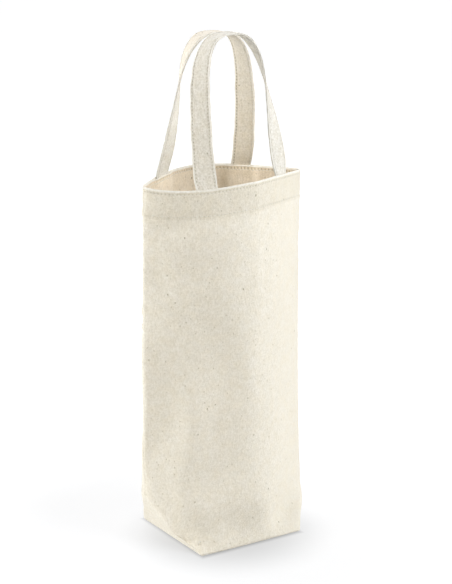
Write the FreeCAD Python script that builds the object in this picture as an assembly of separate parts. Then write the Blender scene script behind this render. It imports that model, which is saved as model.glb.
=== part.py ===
import FreeCAD, Part
import math
import os

# A cotton-canvas bag that carries one bottle. Millimetres, +Z up, origin at the
# centre of the square base, on the surface the bag stands on. -Y is the front.
# The body is two panels sewn at the sides and along the middle of the base, with
# boxed corners, so a square base turns into a soft rhombic tube above it.

# ---------------------------------------------------------------- dimensions
BASE_HALF = 55.0          # half of the 110 x 110 base
RIM_Z = 341.0             # height of the mouth rim
APEX_Z = 52.0             # height of the gusset apex on each side seam
CANVAS = 1.0              # one layer of canvas
FACING_DEPTH = 26.0       # depth of the facing band inside the mouth
SEAM_ALLOWANCE = 9.0      # width of the sewn-in seam allowance
SEAM_ROOT = 3.2           # solid root of a side seam, measured from its tip
STRAP_W = 20.0            # handle strap width
STRAP_T = 2.2             # handle strap thickness (folded canvas)
LEG_OFFSET = 49.0         # handle leg from the panel's middle, along the rim
TAIL_DEPTH = 23.0         # strap end sewn in below the rim
TAIL_STUB = 1.5           # strap end standing above the rim
STRAP_START = 3.6         # free strap starts this far above the rim
LAYER_GAP = 0.12          # air between sewn layers
THREAD_W = 0.55           # sewing thread, laid flat
THREAD_T = 0.32
THREAD_GAP = 0.03
TURN_AT = 0.22            # where a leg's early turn is largest, as a share of its height

# Plan of the mouth and of the tube at the gusset apex: rounded rhombs.
TOP = dict(a=90.6, b=49.5, n=1.5, rot=0.098, ox=5.9, oy=2.5, c0=7.0, c1=-3.5)
LOW = dict(a=84.0, b=57.0, n=1.65, rot=0.0, ox=0.0, oy=0.0, c0=0.0, c1=0.0)

# Handles: apex, then each leg's arch (p, q, k), its quarter twist (power, early turn
# in degrees) and its bow (x, y) between rim and apex.
HANDLES = {
    "front": dict(apex=(0.377, -18.401, 472.459),
                  left=dict(p=3.231, q=4.168, k=0.600, power=1.569, turn=-21.149, bow=(1.237, -0.539)),
                  right=dict(p=2.164, q=2.034, k=0.937, power=1.028, turn=-24.833, bow=(0.919, 8.997))),
    "back": dict(apex=(-6.504, 12.142, 470.762),
                 left=dict(p=1.700, q=4.379, k=1.075, power=1.722, turn=-5.714, bow=(3.388, -8.999)),
                 right=dict(p=4.298, q=1.436, k=0.733, power=1.323, turn=-15.108, bow=(-0.227, 1.525))),
}

V = FreeCAD.Vector
os.makedirs("parts", exist_ok=True)
OUT = {}


# ------------------------------------------------------------------ plan maths
def section(sec, side, count=480):
    pts = []
    for i in range(count + 1):
        w = 0.5 - 0.5 * math.cos(math.pi * i / count)
        t = math.pi + math.pi * w if side == "front" else math.pi - math.pi * w
        co, si = math.cos(t), math.sin(t)
        x = sec["a"] * math.copysign(abs(co) ** (2.0 / sec["n"]), co)
        y = sec["b"] * math.copysign(abs(si) ** (2.0 / sec["n"]), si)
        y += sec["c0"] * co * abs(si) + sec["c1"] * math.sin(2 * t)
        if i in (0, count):
            y = 0.0
        cr, sr = math.cos(sec["rot"]), math.sin(sec["rot"])
        pts.append((sec["ox"] + cr * x - sr * y, sec["oy"] + sr * x + cr * y))
    acc = [0.0]
    for i in range(count):
        acc.append(acc[-1] + math.hypot(pts[i + 1][0] - pts[i][0], pts[i + 1][1] - pts[i][1]))
    return pts, acc


CURVES = {(n, s): section(d, s) for n, d in (("top", TOP), ("low", LOW)) for s in ("front", "back")}


def on_curve(name, side, s):
    pts, acc = CURVES[(name, side)]
    u = (s + 1.0) / 2.0 * acc[-1]
    u = min(max(u, 0.0), acc[-1])
    lo, hi = 0, len(acc) - 1
    while hi - lo > 1:
        m = (lo + hi) // 2
        if acc[m] <= u:
            lo = m
        else:
            hi = m
    f = (u - acc[lo]) / (acc[hi] - acc[lo])
    return (pts[lo][0] + f * (pts[hi][0] - pts[lo][0]), pts[lo][1] + f * (pts[hi][1] - pts[lo][1]))


def wall(side, s, z):
    f = (z - APEX_Z) / (RIM_Z - APEX_Z)
    a, b = on_curve("low", side, s), on_curve("top", side, s)
    return (a[0] + f * (b[0] - a[0]), a[1] + f * (b[1] - a[1]))


def arc_half(side, z):
    f = (z - APEX_Z) / (RIM_Z - APEX_Z)
    return 0.5 * (CURVES[("low", side)][1][-1] * (1 - f) + CURVES[("top", side)][1][-1] * f)


def tangent(side, s, z, d=0.02):
    a, b = wall(side, max(s - d, -1), z), wall(side, min(s + d, 1), z)
    l = math.hypot(b[0] - a[0], b[1] - a[1])
    return ((b[0] - a[0]) / l, (b[1] - a[1]) / l)


def inset(side, s, z, depth):
    """Point of the wall moved inward by depth."""
    p, t = wall(side, s, z), tangent(side, s, z)
    n = (t[1], -t[0]) if side == "front" else (-t[1], t[0])
    return V(p[0] - n[0] * depth, p[1] - n[1] * depth, z)


def seam(which, z, along=0.0, across=0.0):
    """Point in the seam plane of a side: along = inward, across = towards -Y."""
    l, r = wall("front", -1.0, z), wall("front", 1.0, z)
    d = math.hypot(r[0] - l[0], r[1] - l[1])
    e = ((r[0] - l[0]) / d, (r[1] - l[1]) / d)
    tip = l if which == "left" else r
    sg = 1.0 if which == "left" else -1.0
    n = (e[1], -e[0])
    return V(tip[0] + sg * e[0] * along + n[0] * across, tip[1] + sg * e[1] * along + n[1] * across, z)


# ----------------------------------------------------------------- solid maths
def edge(pts):
    if len(pts) == 2:
        return Part.makeLine(pts[0], pts[1])
    c = Part.BSplineCurve()
    c.interpolate(pts)
    return c.toShape()


def flat(pts):
    return Part.Face(Part.makePolygon(pts + [pts[0]]))


def close(faces, name):
    shell = Part.makeShell(faces)
    shell.sewShape()
    if shell.ShapeType != "Shell":
        shell = Part.makeShell(shell.Faces)
    solid = Part.makeSolid(shell)
    if solid.Volume < 0:
        solid.reverse()
    if not solid.isValid():
        solid.fix(1e-4, 1e-4, 1e-4)
    if not solid.isValid() or not solid.isClosed():
        print("WARNING not a clean solid:", name)
    return solid


def ruled(loop_a, loop_b, name):
    """Closed solid between two loops with the same number of edges."""
    ea, eb = [edge(p) for p in loop_a], [edge(p) for p in loop_b]
    faces = [Part.makeRuledSurface(a, b) for a, b in zip(ea, eb)]
    faces.append(Part.Face(Part.Wire(ea)))
    faces.append(Part.Face(Part.Wire(eb)))
    return close(faces, name)


def bar(p, q, name="bar"):
    """Prism between two quads."""
    la = [[p[i], p[(i + 1) % 4]] for i in range(4)]
    lb = [[q[i], q[(i + 1) % 4]] for i in range(4)]
    return ruled(la, lb, name)


def spread(s0, s1, n):
    return [s0 + (s1 - s0) * i / (n - 1.0) for i in range(n)]


def band(side, s0, s1, z0, z1, d0, d1, name, n=41):
    """Strip that follows the wall: arc s0..s1, heights z0..z1, depths d0..d1.
    A depth is a number or a function of s."""
    f0 = d0 if callable(d0) else (lambda s: d0)
    f1 = d1 if callable(d1) else (lambda s: d1)
    loops = []
    for z in (z0, z1):
        o = [inset(side, s, z, f0(s)) for s in spread(s0, s1, n)]
        i = [inset(side, s, z, f1(s)) for s in spread(s1, s0, n)]
        loops.append([o, [o[-1], i[0]], i, [i[-1], o[0]]])
    return ruled(loops[0], loops[1], name)


def put(name, solids):
    solids = solids if isinstance(solids, list) else [solids]
    shape = solids[0] if len(solids) == 1 else Part.makeCompound(solids)
    shape.exportStep("parts/%s.step" % name)
    OUT[name] = shape
    print("%-32s solids %d  volume %9.1f  valid %s" % (name, len(shape.Solids), shape.Volume, shape.isValid()))


SGN = {"front": 1.0, "back": -1.0}          # +1: the side of the seam plane towards -Y


# ---------------------------------------------------------------------- panels
def tube_loop(side, z, flange):
    """Cross-section of one panel's wall, with or without its side seam allowances."""
    sg = SGN[side]
    eps = 6.0 / arc_half(side, z)
    outer = [V(wall(side, s, z)[0], wall(side, s, z)[1], z) for s in
             [-1.0, -0.995, -0.985, -0.96] + spread(-0.92, 0.92, 45) + [0.96, 0.985, 0.995, 1.0]]
    inner = [inset(side, s, z, CANVAS) for s in spread(1.0 - eps, -1.0 + eps, 45)]
    loop = [outer]
    if flange:
        w = SEAM_ROOT + SEAM_ALLOWANCE
        fr = [seam("right", z, w), seam("right", z, w, sg * CANVAS), seam("right", z, SEAM_ROOT + 1.2, sg * CANVAS)]
        fl = [seam("left", z, SEAM_ROOT + 1.2, sg * CANVAS), seam("left", z, w, sg * CANVAS), seam("left", z, w)]
        loop += [[outer[-1], fr[0]], [fr[0], fr[1]], [fr[1], fr[2]], [fr[2], inner[0]], inner,
                 [inner[-1], fl[0]], [fl[0], fl[1]], [fl[1], fl[2]], [fl[2], outer[0]]]
    else:
        r, l = seam("right", z, SEAM_ROOT), seam("left", z, SEAM_ROOT)
        loop += [[outer[-1], r], [r, inner[0]], inner, [inner[-1], l], [l, outer[0]]]
    return loop


def panel(side):
    sg = SGN[side]
    y = -sg * BASE_HALF
    facing_z = RIM_Z - FACING_DEPTH - 1.0
    top = ruled(tube_loop(side, facing_z, False), tube_loop(side, RIM_Z, False), side + " top")
    mid = ruled(tube_loop(side, APEX_Z, True), tube_loop(side, facing_z, True), side + " tube")

    # Foot: the wall comes down to a straight base edge, the boxed corners close
    # the sides with a triangle each, and half of the base lies on the ground.
    cap = tube_loop(side, APEX_Z, False)
    outer, inner = cap[0], cap[3]
    ir, il = inner[0], inner[-1]
    tr, tl = outer[-1], outer[0]
    rr, rl = cap[1][1], cap[5][0]
    t = CANVAS
    fl, fr = V(-BASE_HALF, y, 0), V(BASE_HALF, y, 0)
    ml, mr = V(-BASE_HALF, 0, 0), V(BASE_HALF, 0, 0)
    yi = y + sg * t
    gl, gr = V(-BASE_HALF + t, yi, t), V(BASE_HALF - t, yi, t)
    nl, nr = V(-BASE_HALF + t, 0, t), V(BASE_HALF - t, 0, t)
    faces = [
        Part.makeRuledSurface(edge([fl, fr]), edge(outer)),
        Part.makeRuledSurface(edge([gr, gl]), edge(inner)),
        flat([tl, fl, ml]), flat([tr, mr, fr]), flat([fl, fr, mr, ml]),
        flat([il, rl, gl]), flat([rl, nl, gl]),
        flat([ir, gr, rr]), flat([rr, gr, nr]),
        flat([gl, gr, nr, nl]),
        flat([tl, ml, nl, rl]), flat([tr, rr, nr, mr]), flat([ml, mr, nr, nl]),
        Part.Face(Part.Wire([edge(p) for p in cap])),
    ]
    foot = close(faces, side + " foot")

    # Seam allowances standing up inside: base seam, then one per boxed corner.
    fin_y = -t if sg > 0 else 0.0
    fins = [Part.makeBox(100.0, t, 8.5, V(-50.0, fin_y, 0.5))]
    for x in (-53.5, 51.5):
        fins.append(Part.makeBox(2.0, 44.0, 8.5, V(x, -45.0 if sg > 0 else 1.0, 0.5)))
    body = mid.fuse([top, foot] + fins)
    body = body.removeSplitter()
    if len(body.Solids) != 1:
        print("WARNING panel in", len(body.Solids), "solids")
    return body.Solids[0]


put("front_panel", panel("front"))
put("back_panel", panel("back"))


# --------------------------------------------------------------------- facings
def leg_s(side, which):
    return (-1 if which == "left" else 1) * LEG_OFFSET / arc_half(side, RIM_Z)


def bump(side, s):
    """Extra room between panel and facing where a strap end is sewn in."""
    best = 0.0
    for w in ("left", "right"):
        d = abs(s - leg_s(side, w)) * arc_half(side, RIM_Z)
        f = 1.0 if d < 12.0 else 0.0 if d > 21.0 else 0.5 + 0.5 * math.cos(math.pi * (d - 12.0) / 9.0)
        best = max(best, f)
    return best * (STRAP_T + 2 * LAYER_GAP)


def facing(side):
    sg = SGN[side]
    loops = []
    for z in (RIM_Z - FACING_DEPTH, RIM_Z):
        eps = 8.0 / arc_half(side, z)
        ss = spread(-1.0 + eps, 1.0 - eps, 81)
        o = [inset(side, s, z, CANVAS + LAYER_GAP + bump(side, s)) for s in ss]
        i = [inset(side, s, z, 2 * CANVAS + LAYER_GAP + bump(side, s)) for s in reversed(ss)]
        a, b = SEAM_ROOT + 0.6, SEAM_ROOT + 0.6 + 1.6
        g = sg * 0.02
        loops.append([
            [seam("left", z, a, g), o[0]], o, [o[-1], seam("right", z, a, g)],
            [seam("right", z, a, g), seam("right", z, b, g)],
            [seam("right", z, b, g), i[0]], i, [i[-1], seam("left", z, b, g)],
            [seam("left", z, b, g), seam("left", z, a, g)],
        ])
    return ruled(loops[0], loops[1], side + " facing")


put("front_facing", facing("front"))
put("back_facing", facing("back"))


# ---------------------------------------------------------- strap ends (tails)
for side in ("front", "back"):
    for which in ("left", "right"):
        h = STRAP_W / 2.0 / arc_half(side, RIM_Z)
        s = leg_s(side, which)
        put("%s_handle_%s_tail" % (side, which),
            band(side, s - h, s + h, RIM_Z - TAIL_DEPTH, RIM_Z + TAIL_STUB,
                 CANVAS + LAYER_GAP, CANVAS + LAYER_GAP + STRAP_T, side + " tail", 9))


# --------------------------------------------------------------------- handles
def leg_base(side, which):
    s = leg_s(side, which)
    return inset(side, s, RIM_Z, CANVAS + LAYER_GAP + STRAP_T / 2.0)


def leg_path(side, which, count=240):
    h = HANDLES[side]
    ax, ay, az = h["apex"]
    g = h[which]
    b = leg_base(side, which)
    # even steps round the arch, and even steps up the leg near the rim
    ts = {math.pi / 2 * i / count for i in range(count)}
    ts |= {math.asin((i / 100.0) ** (g["q"] / 2.0)) for i in range(1, 60)}
    pts = []
    for t in sorted(ts) + [None]:
        x = ax if t is None else ax + (b.x - ax) * math.cos(t) ** (2.0 / g["p"])
        zeta = 1.0 if t is None else math.sin(t) ** (2.0 / g["q"])
        bell = math.sin(math.pi * min(zeta, 1.0))
        y = b.y + (ay - b.y) * zeta ** g["k"]
        pts.append(V(x + g["bow"][0] * bell, y + g["bow"][1] * bell, RIM_Z + (az - RIM_Z) * zeta))
    return pts


def handle_frames(side, count=61):
    """Points along the free strap with its width and face directions."""
    az = HANDLES[side]["apex"][2]
    pts = leg_path(side, "left") + list(reversed(leg_path(side, "right")))[1:]
    acc = [0.0]
    for i in range(len(pts) - 1):
        acc.append(acc[-1] + (pts[i + 1] - pts[i]).Length)

    def at(u):
        lo, hi = 0, len(acc) - 1
        while hi - lo > 1:
            m = (lo + hi) // 2
            if acc[m] <= u:
                lo = m
            else:
                hi = m
        f = (u - acc[lo]) / (acc[hi] - acc[lo])
        return pts[lo] + (pts[hi] - pts[lo]) * f

    def reach(points, base):
        return next(j for j, p in enumerate(points) if p.z >= RIM_Z + STRAP_START)

    u0 = acc[reach(pts, 0)]
    u1 = acc[len(pts) - 1 - reach(list(reversed(pts)), 0)]
    ang = {}
    for which in ("left", "right"):
        t = tangent(side, leg_s(side, which), RIM_Z)
        a = math.degrees(math.atan2(t[1], t[0]))
        flip = (side == "front") == (which == "right")
        ang[which] = a - 180.0 if flip else a
    half = acc[len(pts) // 2]
    frames = []
    for i in range(count):
        u = u0 + (u1 - u0) * i / (count - 1.0)
        c = at(u)
        d = (at(min(u + 4.0, acc[-1])) - at(max(u - 4.0, 0.0))).normalize()
        zeta = min(max((c.z - RIM_Z) / (az - RIM_Z), 0.0), 1.0)
        which = "left" if u < half else "right"
        base, g = ang[which], HANDLES[side][which]
        turn = g["turn"] * zeta / TURN_AT * math.exp(1.0 - zeta / TURN_AT)
        a = math.radians(base + (-90.0 - base) * zeta ** g["power"] + turn)
        w = V(math.cos(a), math.sin(a), 0)
        w = (w - d * w.dot(d)).normalize()
        n = w.cross(d).normalize()
        frames.append((c, w, n))
    return frames


def strip(frames, w0, w1, n0, n1, name):
    """Closed strip along the frames, from w0..w1 across and n0..n1 through."""
    corner = [[c + w * a + n * b for c, w, n in frames] for a, b in ((w0, n0), (w1, n0), (w1, n1), (w0, n1))]
    es = [edge(p) for p in corner]
    faces = [Part.makeRuledSurface(es[i], es[(i + 1) % 4]) for i in range(4)]
    faces += [flat([c[0] for c in corner]), flat([c[-1] for c in corner])]
    return close(faces, name)


for side in ("front", "back"):
    fr = handle_frames(side)
    put(side + "_handle", strip(fr, -STRAP_W / 2, STRAP_W / 2, -STRAP_T / 2, STRAP_T / 2, side + " strap"))
    rows = []
    lo = STRAP_T / 2 + THREAD_GAP + 0.15     # the twist lifts the thread off the strap
    for row in (-1, 1):
        c = row * (STRAP_W / 2 - 2.2)
        for face in (-1, 1):
            n0, n1 = sorted((face * lo, face * (lo + THREAD_T)))
            rows.append(strip(fr[1:-1], c - THREAD_W / 2, c + THREAD_W / 2, n0, n1, side + " stitch"))
    put(side + "_handle_edge_stitching", rows)

# ------------------------------------------------------- stitch lines at the mouth
for side in ("front", "back"):
    for name, z in (("rim_topstitch_" + side, RIM_Z - 3.0), ("facing_stitch_" + side, RIM_Z - FACING_DEPTH + 2.2)):
        e = 0.90
        inside = lambda s: 2 * CANVAS + LAYER_GAP + bump(side, s) + THREAD_GAP
        put(name, [
            band(side, -e, e, z - THREAD_W / 2, z + THREAD_W / 2, -THREAD_GAP - THREAD_T, -THREAD_GAP, name, 61),
            band(side, -e, e, z - THREAD_W / 2, z + THREAD_W / 2, inside, lambda s: inside(s) + THREAD_T, name, 81),
        ])

# --------------------------------------------------------------- side seam threads
for which in ("left", "right"):
    z0, z1 = APEX_Z + 4.0, RIM_Z - FACING_DEPTH - 3.0
    rows = []
    for sg in (1.0, -1.0):
        a, b = SEAM_ROOT + 2.6, SEAM_ROOT + 2.6 + THREAD_W
        c, d = sg * (CANVAS + THREAD_GAP), sg * (CANVAS + THREAD_GAP + THREAD_T)
        quad = lambda z: [seam(which, z, a, c), seam(which, z, b, c), seam(which, z, b, d), seam(which, z, a, d)]
        rows.append(bar(quad(z0), quad(z1), which + " seam"))
    put(which + "_side_seam_stitch", rows)
    w = SEAM_ROOT + SEAM_ALLOWANCE
    h = CANVAS + 0.35
    quad = lambda z: [seam(which, z, w + 0.03, h), seam(which, z, w + 0.9, h),
                      seam(which, z, w + 0.9, -h), seam(which, z, w + 0.03, -h)]
    put(which + "_side_overlock", bar(quad(z0), quad(z1), which + " overlock"))

# ------------------------------------------------------ base and corner seam threads
put("base_seam_stitch", [
    Part.makeBox(98.0, THREAD_T, THREAD_W, V(-49.0, CANVAS + THREAD_GAP, 3.0)),
    Part.makeBox(98.0, THREAD_T, THREAD_W, V(-49.0, -CANVAS - THREAD_GAP - THREAD_T, 3.0)),
])
put("base_overlock", Part.makeBox(100.0, 2.7, 0.9, V(-50.0, -1.35, 9.03)))
for which, x in (("left", -53.5), ("right", 51.5)):
    put(which + "_corner_stitch", [
        Part.makeBox(THREAD_T, 88.0, THREAD_W, V(x - THREAD_GAP - THREAD_T, -44.0, 3.0)),
        Part.makeBox(THREAD_T, 88.0, THREAD_W, V(x + 2.0 + THREAD_GAP, -44.0, 3.0)),
    ])
    put(which + "_corner_overlock", Part.makeBox(2.7, 90.0, 0.9, V(x - 0.35, -45.0, 9.03)))
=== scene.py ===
import math

import bpy
import numpy as np
from mathutils import Matrix, Vector


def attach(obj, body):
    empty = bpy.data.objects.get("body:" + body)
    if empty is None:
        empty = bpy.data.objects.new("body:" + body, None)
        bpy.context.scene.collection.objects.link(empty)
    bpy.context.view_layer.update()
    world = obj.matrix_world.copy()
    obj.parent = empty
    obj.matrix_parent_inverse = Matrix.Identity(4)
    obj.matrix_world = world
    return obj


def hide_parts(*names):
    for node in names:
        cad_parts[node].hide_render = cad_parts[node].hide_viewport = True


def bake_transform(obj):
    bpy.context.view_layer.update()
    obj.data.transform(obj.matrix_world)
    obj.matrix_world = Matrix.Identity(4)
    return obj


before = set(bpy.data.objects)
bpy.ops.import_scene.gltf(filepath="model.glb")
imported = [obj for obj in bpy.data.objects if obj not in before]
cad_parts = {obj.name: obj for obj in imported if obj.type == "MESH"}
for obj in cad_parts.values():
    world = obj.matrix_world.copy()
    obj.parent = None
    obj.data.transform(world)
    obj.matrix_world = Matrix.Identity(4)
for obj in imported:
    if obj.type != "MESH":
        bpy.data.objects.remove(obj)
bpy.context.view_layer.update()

# A canvas bag for one bottle. All shapes below are worked out in millimetres in the
# model's own frame and turned into metres when a mesh is made.

# ---------------------------------------------------------------- dimensions
BASE = 55.0            # half of the square base
RIM = 341.0            # height of the mouth
APEX = 52.0            # height of the gusset apex on the side seams
CLOTH = 0.95           # one layer of canvas
GAP = 0.12
STRAP_W, STRAP_T = 20.0, 2.2
LEG = 49.0             # handle leg from the panel's middle, along the rim
TAIL = 23.0            # strap end sewn in below the rim
FACING = 26.0          # facing band inside the mouth
SEAM_SHIFT = 10.0      # the left side seam meets the base a little behind the middle

TOP = dict(a=90.6, b=49.5, n=1.5, rot=0.098, ox=5.9, oy=2.5, c0=7.0, c1=-3.5)
LOW = dict(a=84.0, b=57.0, n=1.65, rot=0.0, ox=0.0, oy=0.0, c0=0.0, c1=0.0)
HANDLES = {
    "front": dict(apex=(0.377, -18.401, 472.459),
                  left=dict(p=3.231, q=4.168, k=0.600, power=1.569, turn=-21.149, bow=(1.237, -0.539)),
                  right=dict(p=2.164, q=2.034, k=0.937, power=1.028, turn=-24.833, bow=(0.919, 8.997))),
    "back": dict(apex=(-6.504, 12.142, 470.762),
                 left=dict(p=1.700, q=4.379, k=1.075, power=1.722, turn=-5.714, bow=(3.388, -8.999)),
                 right=dict(p=4.298, q=1.436, k=0.733, power=1.323, turn=-15.108, bow=(-0.227, 1.525))),
}
TURN_AT = 0.22
# how the rim dips at the side seams and stands up at the panel's middle
RIM_WAVE = {
    "front": ([-1.0, -0.97, -0.84, -0.67, -0.51, -0.41, -0.30, -0.17, -0.07, 0.06, 0.23, 0.415, 0.63, 0.825, 1.0],
              [-0.3, -0.45, -1.5, -1.9, -1.35, -0.9, 0.3, 1.5, 2.1, 2.0, 1.75, 0.85, -0.5, -2.5, -4.5]),
    "back": ([-1.0, -0.85, -0.72, -0.63, -0.53, -0.28, -0.14, -0.015, 0.23, 0.37, 0.51, 0.60, 0.775, 0.89, 1.0],
             [-0.3, -1.4, -1.6, -0.7, 0.2, 1.9, 2.5, 2.6, 1.75, 0.84, -0.3, -1.6, -3.3, -4.1, -4.5]),
}
SIDES = ("front", "back")


# ------------------------------------------------------------------ small maths
def unit(v):
    return v / np.maximum(np.linalg.norm(v, axis=-1, keepdims=True), 1e-12)


def step(a, b, x):
    t = np.clip((np.asarray(x, float) - a) / (b - a), 0.0, 1.0)
    return t * t * (3 - 2 * t)


def ripple(P, wavelength, seed, count=16):
    """Smooth, seeded unevenness of about unit height with the given wavelength."""
    rng = np.random.RandomState(seed)
    out = np.zeros(P.shape[:-1])
    for _ in range(count):
        d = rng.normal(size=P.shape[-1])
        d /= np.linalg.norm(d)
        k = 2 * math.pi / (wavelength * rng.uniform(0.7, 1.45))
        out += np.sin(P @ d * k + rng.uniform(0, 2 * math.pi))
    return out / math.sqrt(count / 2.0)


def plan(sec, side, count=480):
    i = np.arange(count + 1)
    w = 0.5 - 0.5 * np.cos(math.pi * i / count)
    t = math.pi + math.pi * w if side == "front" else math.pi - math.pi * w
    co, si = np.cos(t), np.sin(t)
    x = sec["a"] * np.sign(co) * np.abs(co) ** (2.0 / sec["n"])
    y = sec["b"] * np.sign(si) * np.abs(si) ** (2.0 / sec["n"])
    y = y + sec["c0"] * co * np.abs(si) + sec["c1"] * np.sin(2 * t)
    y[0] = y[-1] = 0.0
    cr, sr = math.cos(sec["rot"]), math.sin(sec["rot"])
    pts = np.stack([sec["ox"] + cr * x - sr * y, sec["oy"] + sr * x + cr * y], 1)
    acc = np.concatenate([[0.0], np.cumsum(np.linalg.norm(np.diff(pts, axis=0), axis=1))])
    return pts, acc


PLAN = {(n, s): plan(d, s) for n, d in (("top", TOP), ("low", LOW)) for s in SIDES}
HALF_ARC = {s: 0.5 * PLAN[("top", s)][1][-1] for s in SIDES}


def on_plan(name, side, s):
    pts, acc = PLAN[(name, side)]
    u = (np.asarray(s, float) + 1.0) / 2.0 * acc[-1]
    return np.stack([np.interp(u, acc, pts[:, 0]), np.interp(u, acc, pts[:, 1])], -1)


def rim_wave(side, s):
    xs, ys = RIM_WAVE[side]
    fine = np.linspace(-1, 1, 401)
    v = np.interp(fine, xs, ys)
    ker = np.exp(-0.5 * (np.arange(-24, 25) / 9.0) ** 2)
    v = np.convolve(np.pad(v, 24, mode="edge"), ker / ker.sum(), mode="valid")
    tip = np.interp([-1.0, 1.0], xs, ys)
    v += (tip[0] - v[0]) * step(-0.9, -1.0, fine) + (tip[1] - v[-1]) * step(0.9, 1.0, fine)
    return np.interp(s, fine, v)


# ------------------------------------------------------------------ mesh helpers
def new_piece(name, verts, faces, uvs=None, mat=None, sharp=None):
    """Mesh object from millimetre points; uvs has one pair per face corner."""
    me = bpy.data.meshes.new(name)
    me.from_pydata((np.asarray(verts, float) * 0.001).tolist(), [], faces)
    if uvs is not None:
        layer = me.uv_layers.new(name="UVMap")
        layer.data.foreach_set("uv", np.asarray(uvs, np.float32).ravel())
    me.polygons.foreach_set("use_smooth", np.ones(len(me.polygons), dtype=bool))
    me.validate()
    me.update()
    if sharp:
        for e in me.edges:
            a, b = e.vertices
            if (min(a, b), max(a, b)) in sharp:
                e.use_edge_sharp = True
    ob = bpy.data.objects.new(name, me)
    bpy.context.scene.collection.objects.link(ob)
    if mat is not None:
        me.materials.append(mat)
    return ob


class Soup:
    """Vertices, faces and corner coordinates gathered from several strips."""

    def __init__(self):
        self.v, self.f, self.uv, self.n = [], [], [], 0
        self.sharp = set()

    def add(self, verts, faces, uvs, sharp=()):
        verts = np.asarray(verts, float).reshape(-1, 3)
        self.sharp |= {(min(a, b) + self.n, max(a, b) + self.n) for a, b in sharp}
        self.v.append(verts)
        self.f += [[int(i) + self.n for i in f] for f in faces]
        self.uv.append(np.asarray(uvs, float).reshape(-1, 2))
        self.n += len(verts)

    def piece(self, name, mat):
        return new_piece(name, np.concatenate(self.v), self.f, np.concatenate(self.uv), mat, self.sharp)


def grid_faces(rows, cols, wrap_cols=False, flip=False):
    faces = []
    last = cols if wrap_cols else cols - 1
    for r in range(rows - 1):
        for c in range(last):
            d = (c + 1) % cols
            q = [r * cols + c, r * cols + d, (r + 1) * cols + d, (r + 1) * cols + c]
            faces.append(q[::-1] if flip else q)
    return faces


def slab(outer, inner, uv, crown=None):
    """Closed sheet from two matching grids; crown lifts the middle of the last row's edge."""
    R, C = outer.shape[:2]
    n = R * C
    verts = [outer.reshape(-1, 3), inner.reshape(-1, 3)]
    faces = grid_faces(R, C) + [[i + n for i in q] for q in grid_faces(R, C, flip=True)]
    flat = uv.reshape(-1, 2)
    ids = lambda r, c: r * C + c
    rim_o = [ids(0, c) for c in range(C)]
    side_r = [ids(r, C - 1) for r in range(R)]
    top = [ids(R - 1, c) for c in range(C - 1, -1, -1)]
    side_l = [ids(r, 0) for r in range(R - 1, -1, -1)]
    strips = [rim_o, side_r, side_l]
    if crown is None:
        strips.append(top)
    for line in strips:
        for a, b in zip(line[:-1], line[1:]):
            faces.append([b, a, a + n, b + n])
    total = 2 * n
    look = np.concatenate([flat, flat])
    if crown is not None:
        mid = 0.5 * (outer[-1] + inner[-1]) + crown
        verts.append(mid)
        look = np.concatenate([look, uv[-1]])
        for c in range(C - 1):
            o0, o1, i0, i1 = ids(R - 1, c), ids(R - 1, c + 1), ids(R - 1, c) + n, ids(R - 1, c + 1) + n
            m0, m1 = total + c, total + c + 1
            faces.append([o0, o1, m1, m0])
            faces.append([m0, m1, i1, i0])
        faces.append([ids(R - 1, 0), total, ids(R - 1, 0) + n])
        faces.append([ids(R - 1, C - 1) + n, total + C - 1, ids(R - 1, C - 1)])
    uvs = np.concatenate([look[f] for f in faces])
    return np.concatenate(verts), faces, uvs


def thread(points, radius, sides=6, twist=0.0):
    """Closed tube along a line of points."""
    P = np.asarray(points, float)
    N = len(P)
    T = unit(np.gradient(P, axis=0))
    ref = np.array([0.0, 0.0, 1.0]) if abs(T[0][2]) < 0.9 else np.array([1.0, 0.0, 0.0])
    u = unit(np.cross(T[0], ref))
    rings, acc = [], 0.0
    lengths = []
    for i in range(N):
        u = unit(u - T[i] * (u @ T[i]))
        v = np.cross(T[i], u)
        if i:
            acc += np.linalg.norm(P[i] - P[i - 1])
        a = np.arange(sides) * 2 * math.pi / sides
        r = radius if np.isscalar(radius) else radius[i]
        rings.append(P[i] + r * (np.cos(a)[:, None] * u + np.sin(a)[:, None] * v))
        lengths.append(acc)
    verts = np.concatenate(rings)
    faces = grid_faces(N, sides, wrap_cols=True)
    faces.append(list(range(sides))[::-1])
    faces.append([(N - 1) * sides + k for k in range(sides)])
    uvs = []
    for f in faces:
        for k in f:
            uvs.append((lengths[k // sides] * 0.001, (k % sides) / sides * 0.002))
    return verts, faces, uvs


def stitches(soup, start, end, normal, radius=0.27, lift=0.22, sink=0.34):
    """One short bowed thread per row of start and end, dipping into the cloth at both ends."""
    start, end, normal = (np.asarray(a, float).reshape(-1, 3) for a in (start, end, normal))
    t = np.array([0.0, 0.10, 0.28, 0.5, 0.72, 0.90, 1.0])
    h = np.array([-sink, 0.02, lift * 0.85, lift, lift * 0.85, 0.02, -sink])
    r = radius * np.array([0.62, 0.86, 1.0, 1.04, 1.0, 0.86, 0.62])
    d = unit(end - start)
    n = unit(normal - d * np.sum(normal * d, 1, keepdims=True))
    side = np.cross(d, n)
    K, S = len(t), 6
    mid = start[:, None] + (end - start)[:, None] * t[None, :, None] + n[:, None] * h[None, :, None]
    a = np.arange(S) * 2 * math.pi / S
    ring = (np.cos(a)[None, None, :, None] * side[:, None, None] * 1.12 + np.sin(a)[None, None, :, None] * n[:, None, None]) * r[None, :, None, None]
    verts = (mid[:, :, None] + ring).reshape(-1, K * S, 3)
    local = grid_faces(K, S, wrap_cols=True, flip=True)
    local.append(list(range(S)))
    local.append([(K - 1) * S + k for k in range(S)][::-1])
    for i in range(len(verts)):
        length = np.linalg.norm(end[i] - start[i])
        uvs = [(t[k // S] * length * 0.001, (k % S) / S * 0.002) for f in local for k in f]
        soup.add(verts[i], local, uvs)


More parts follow.
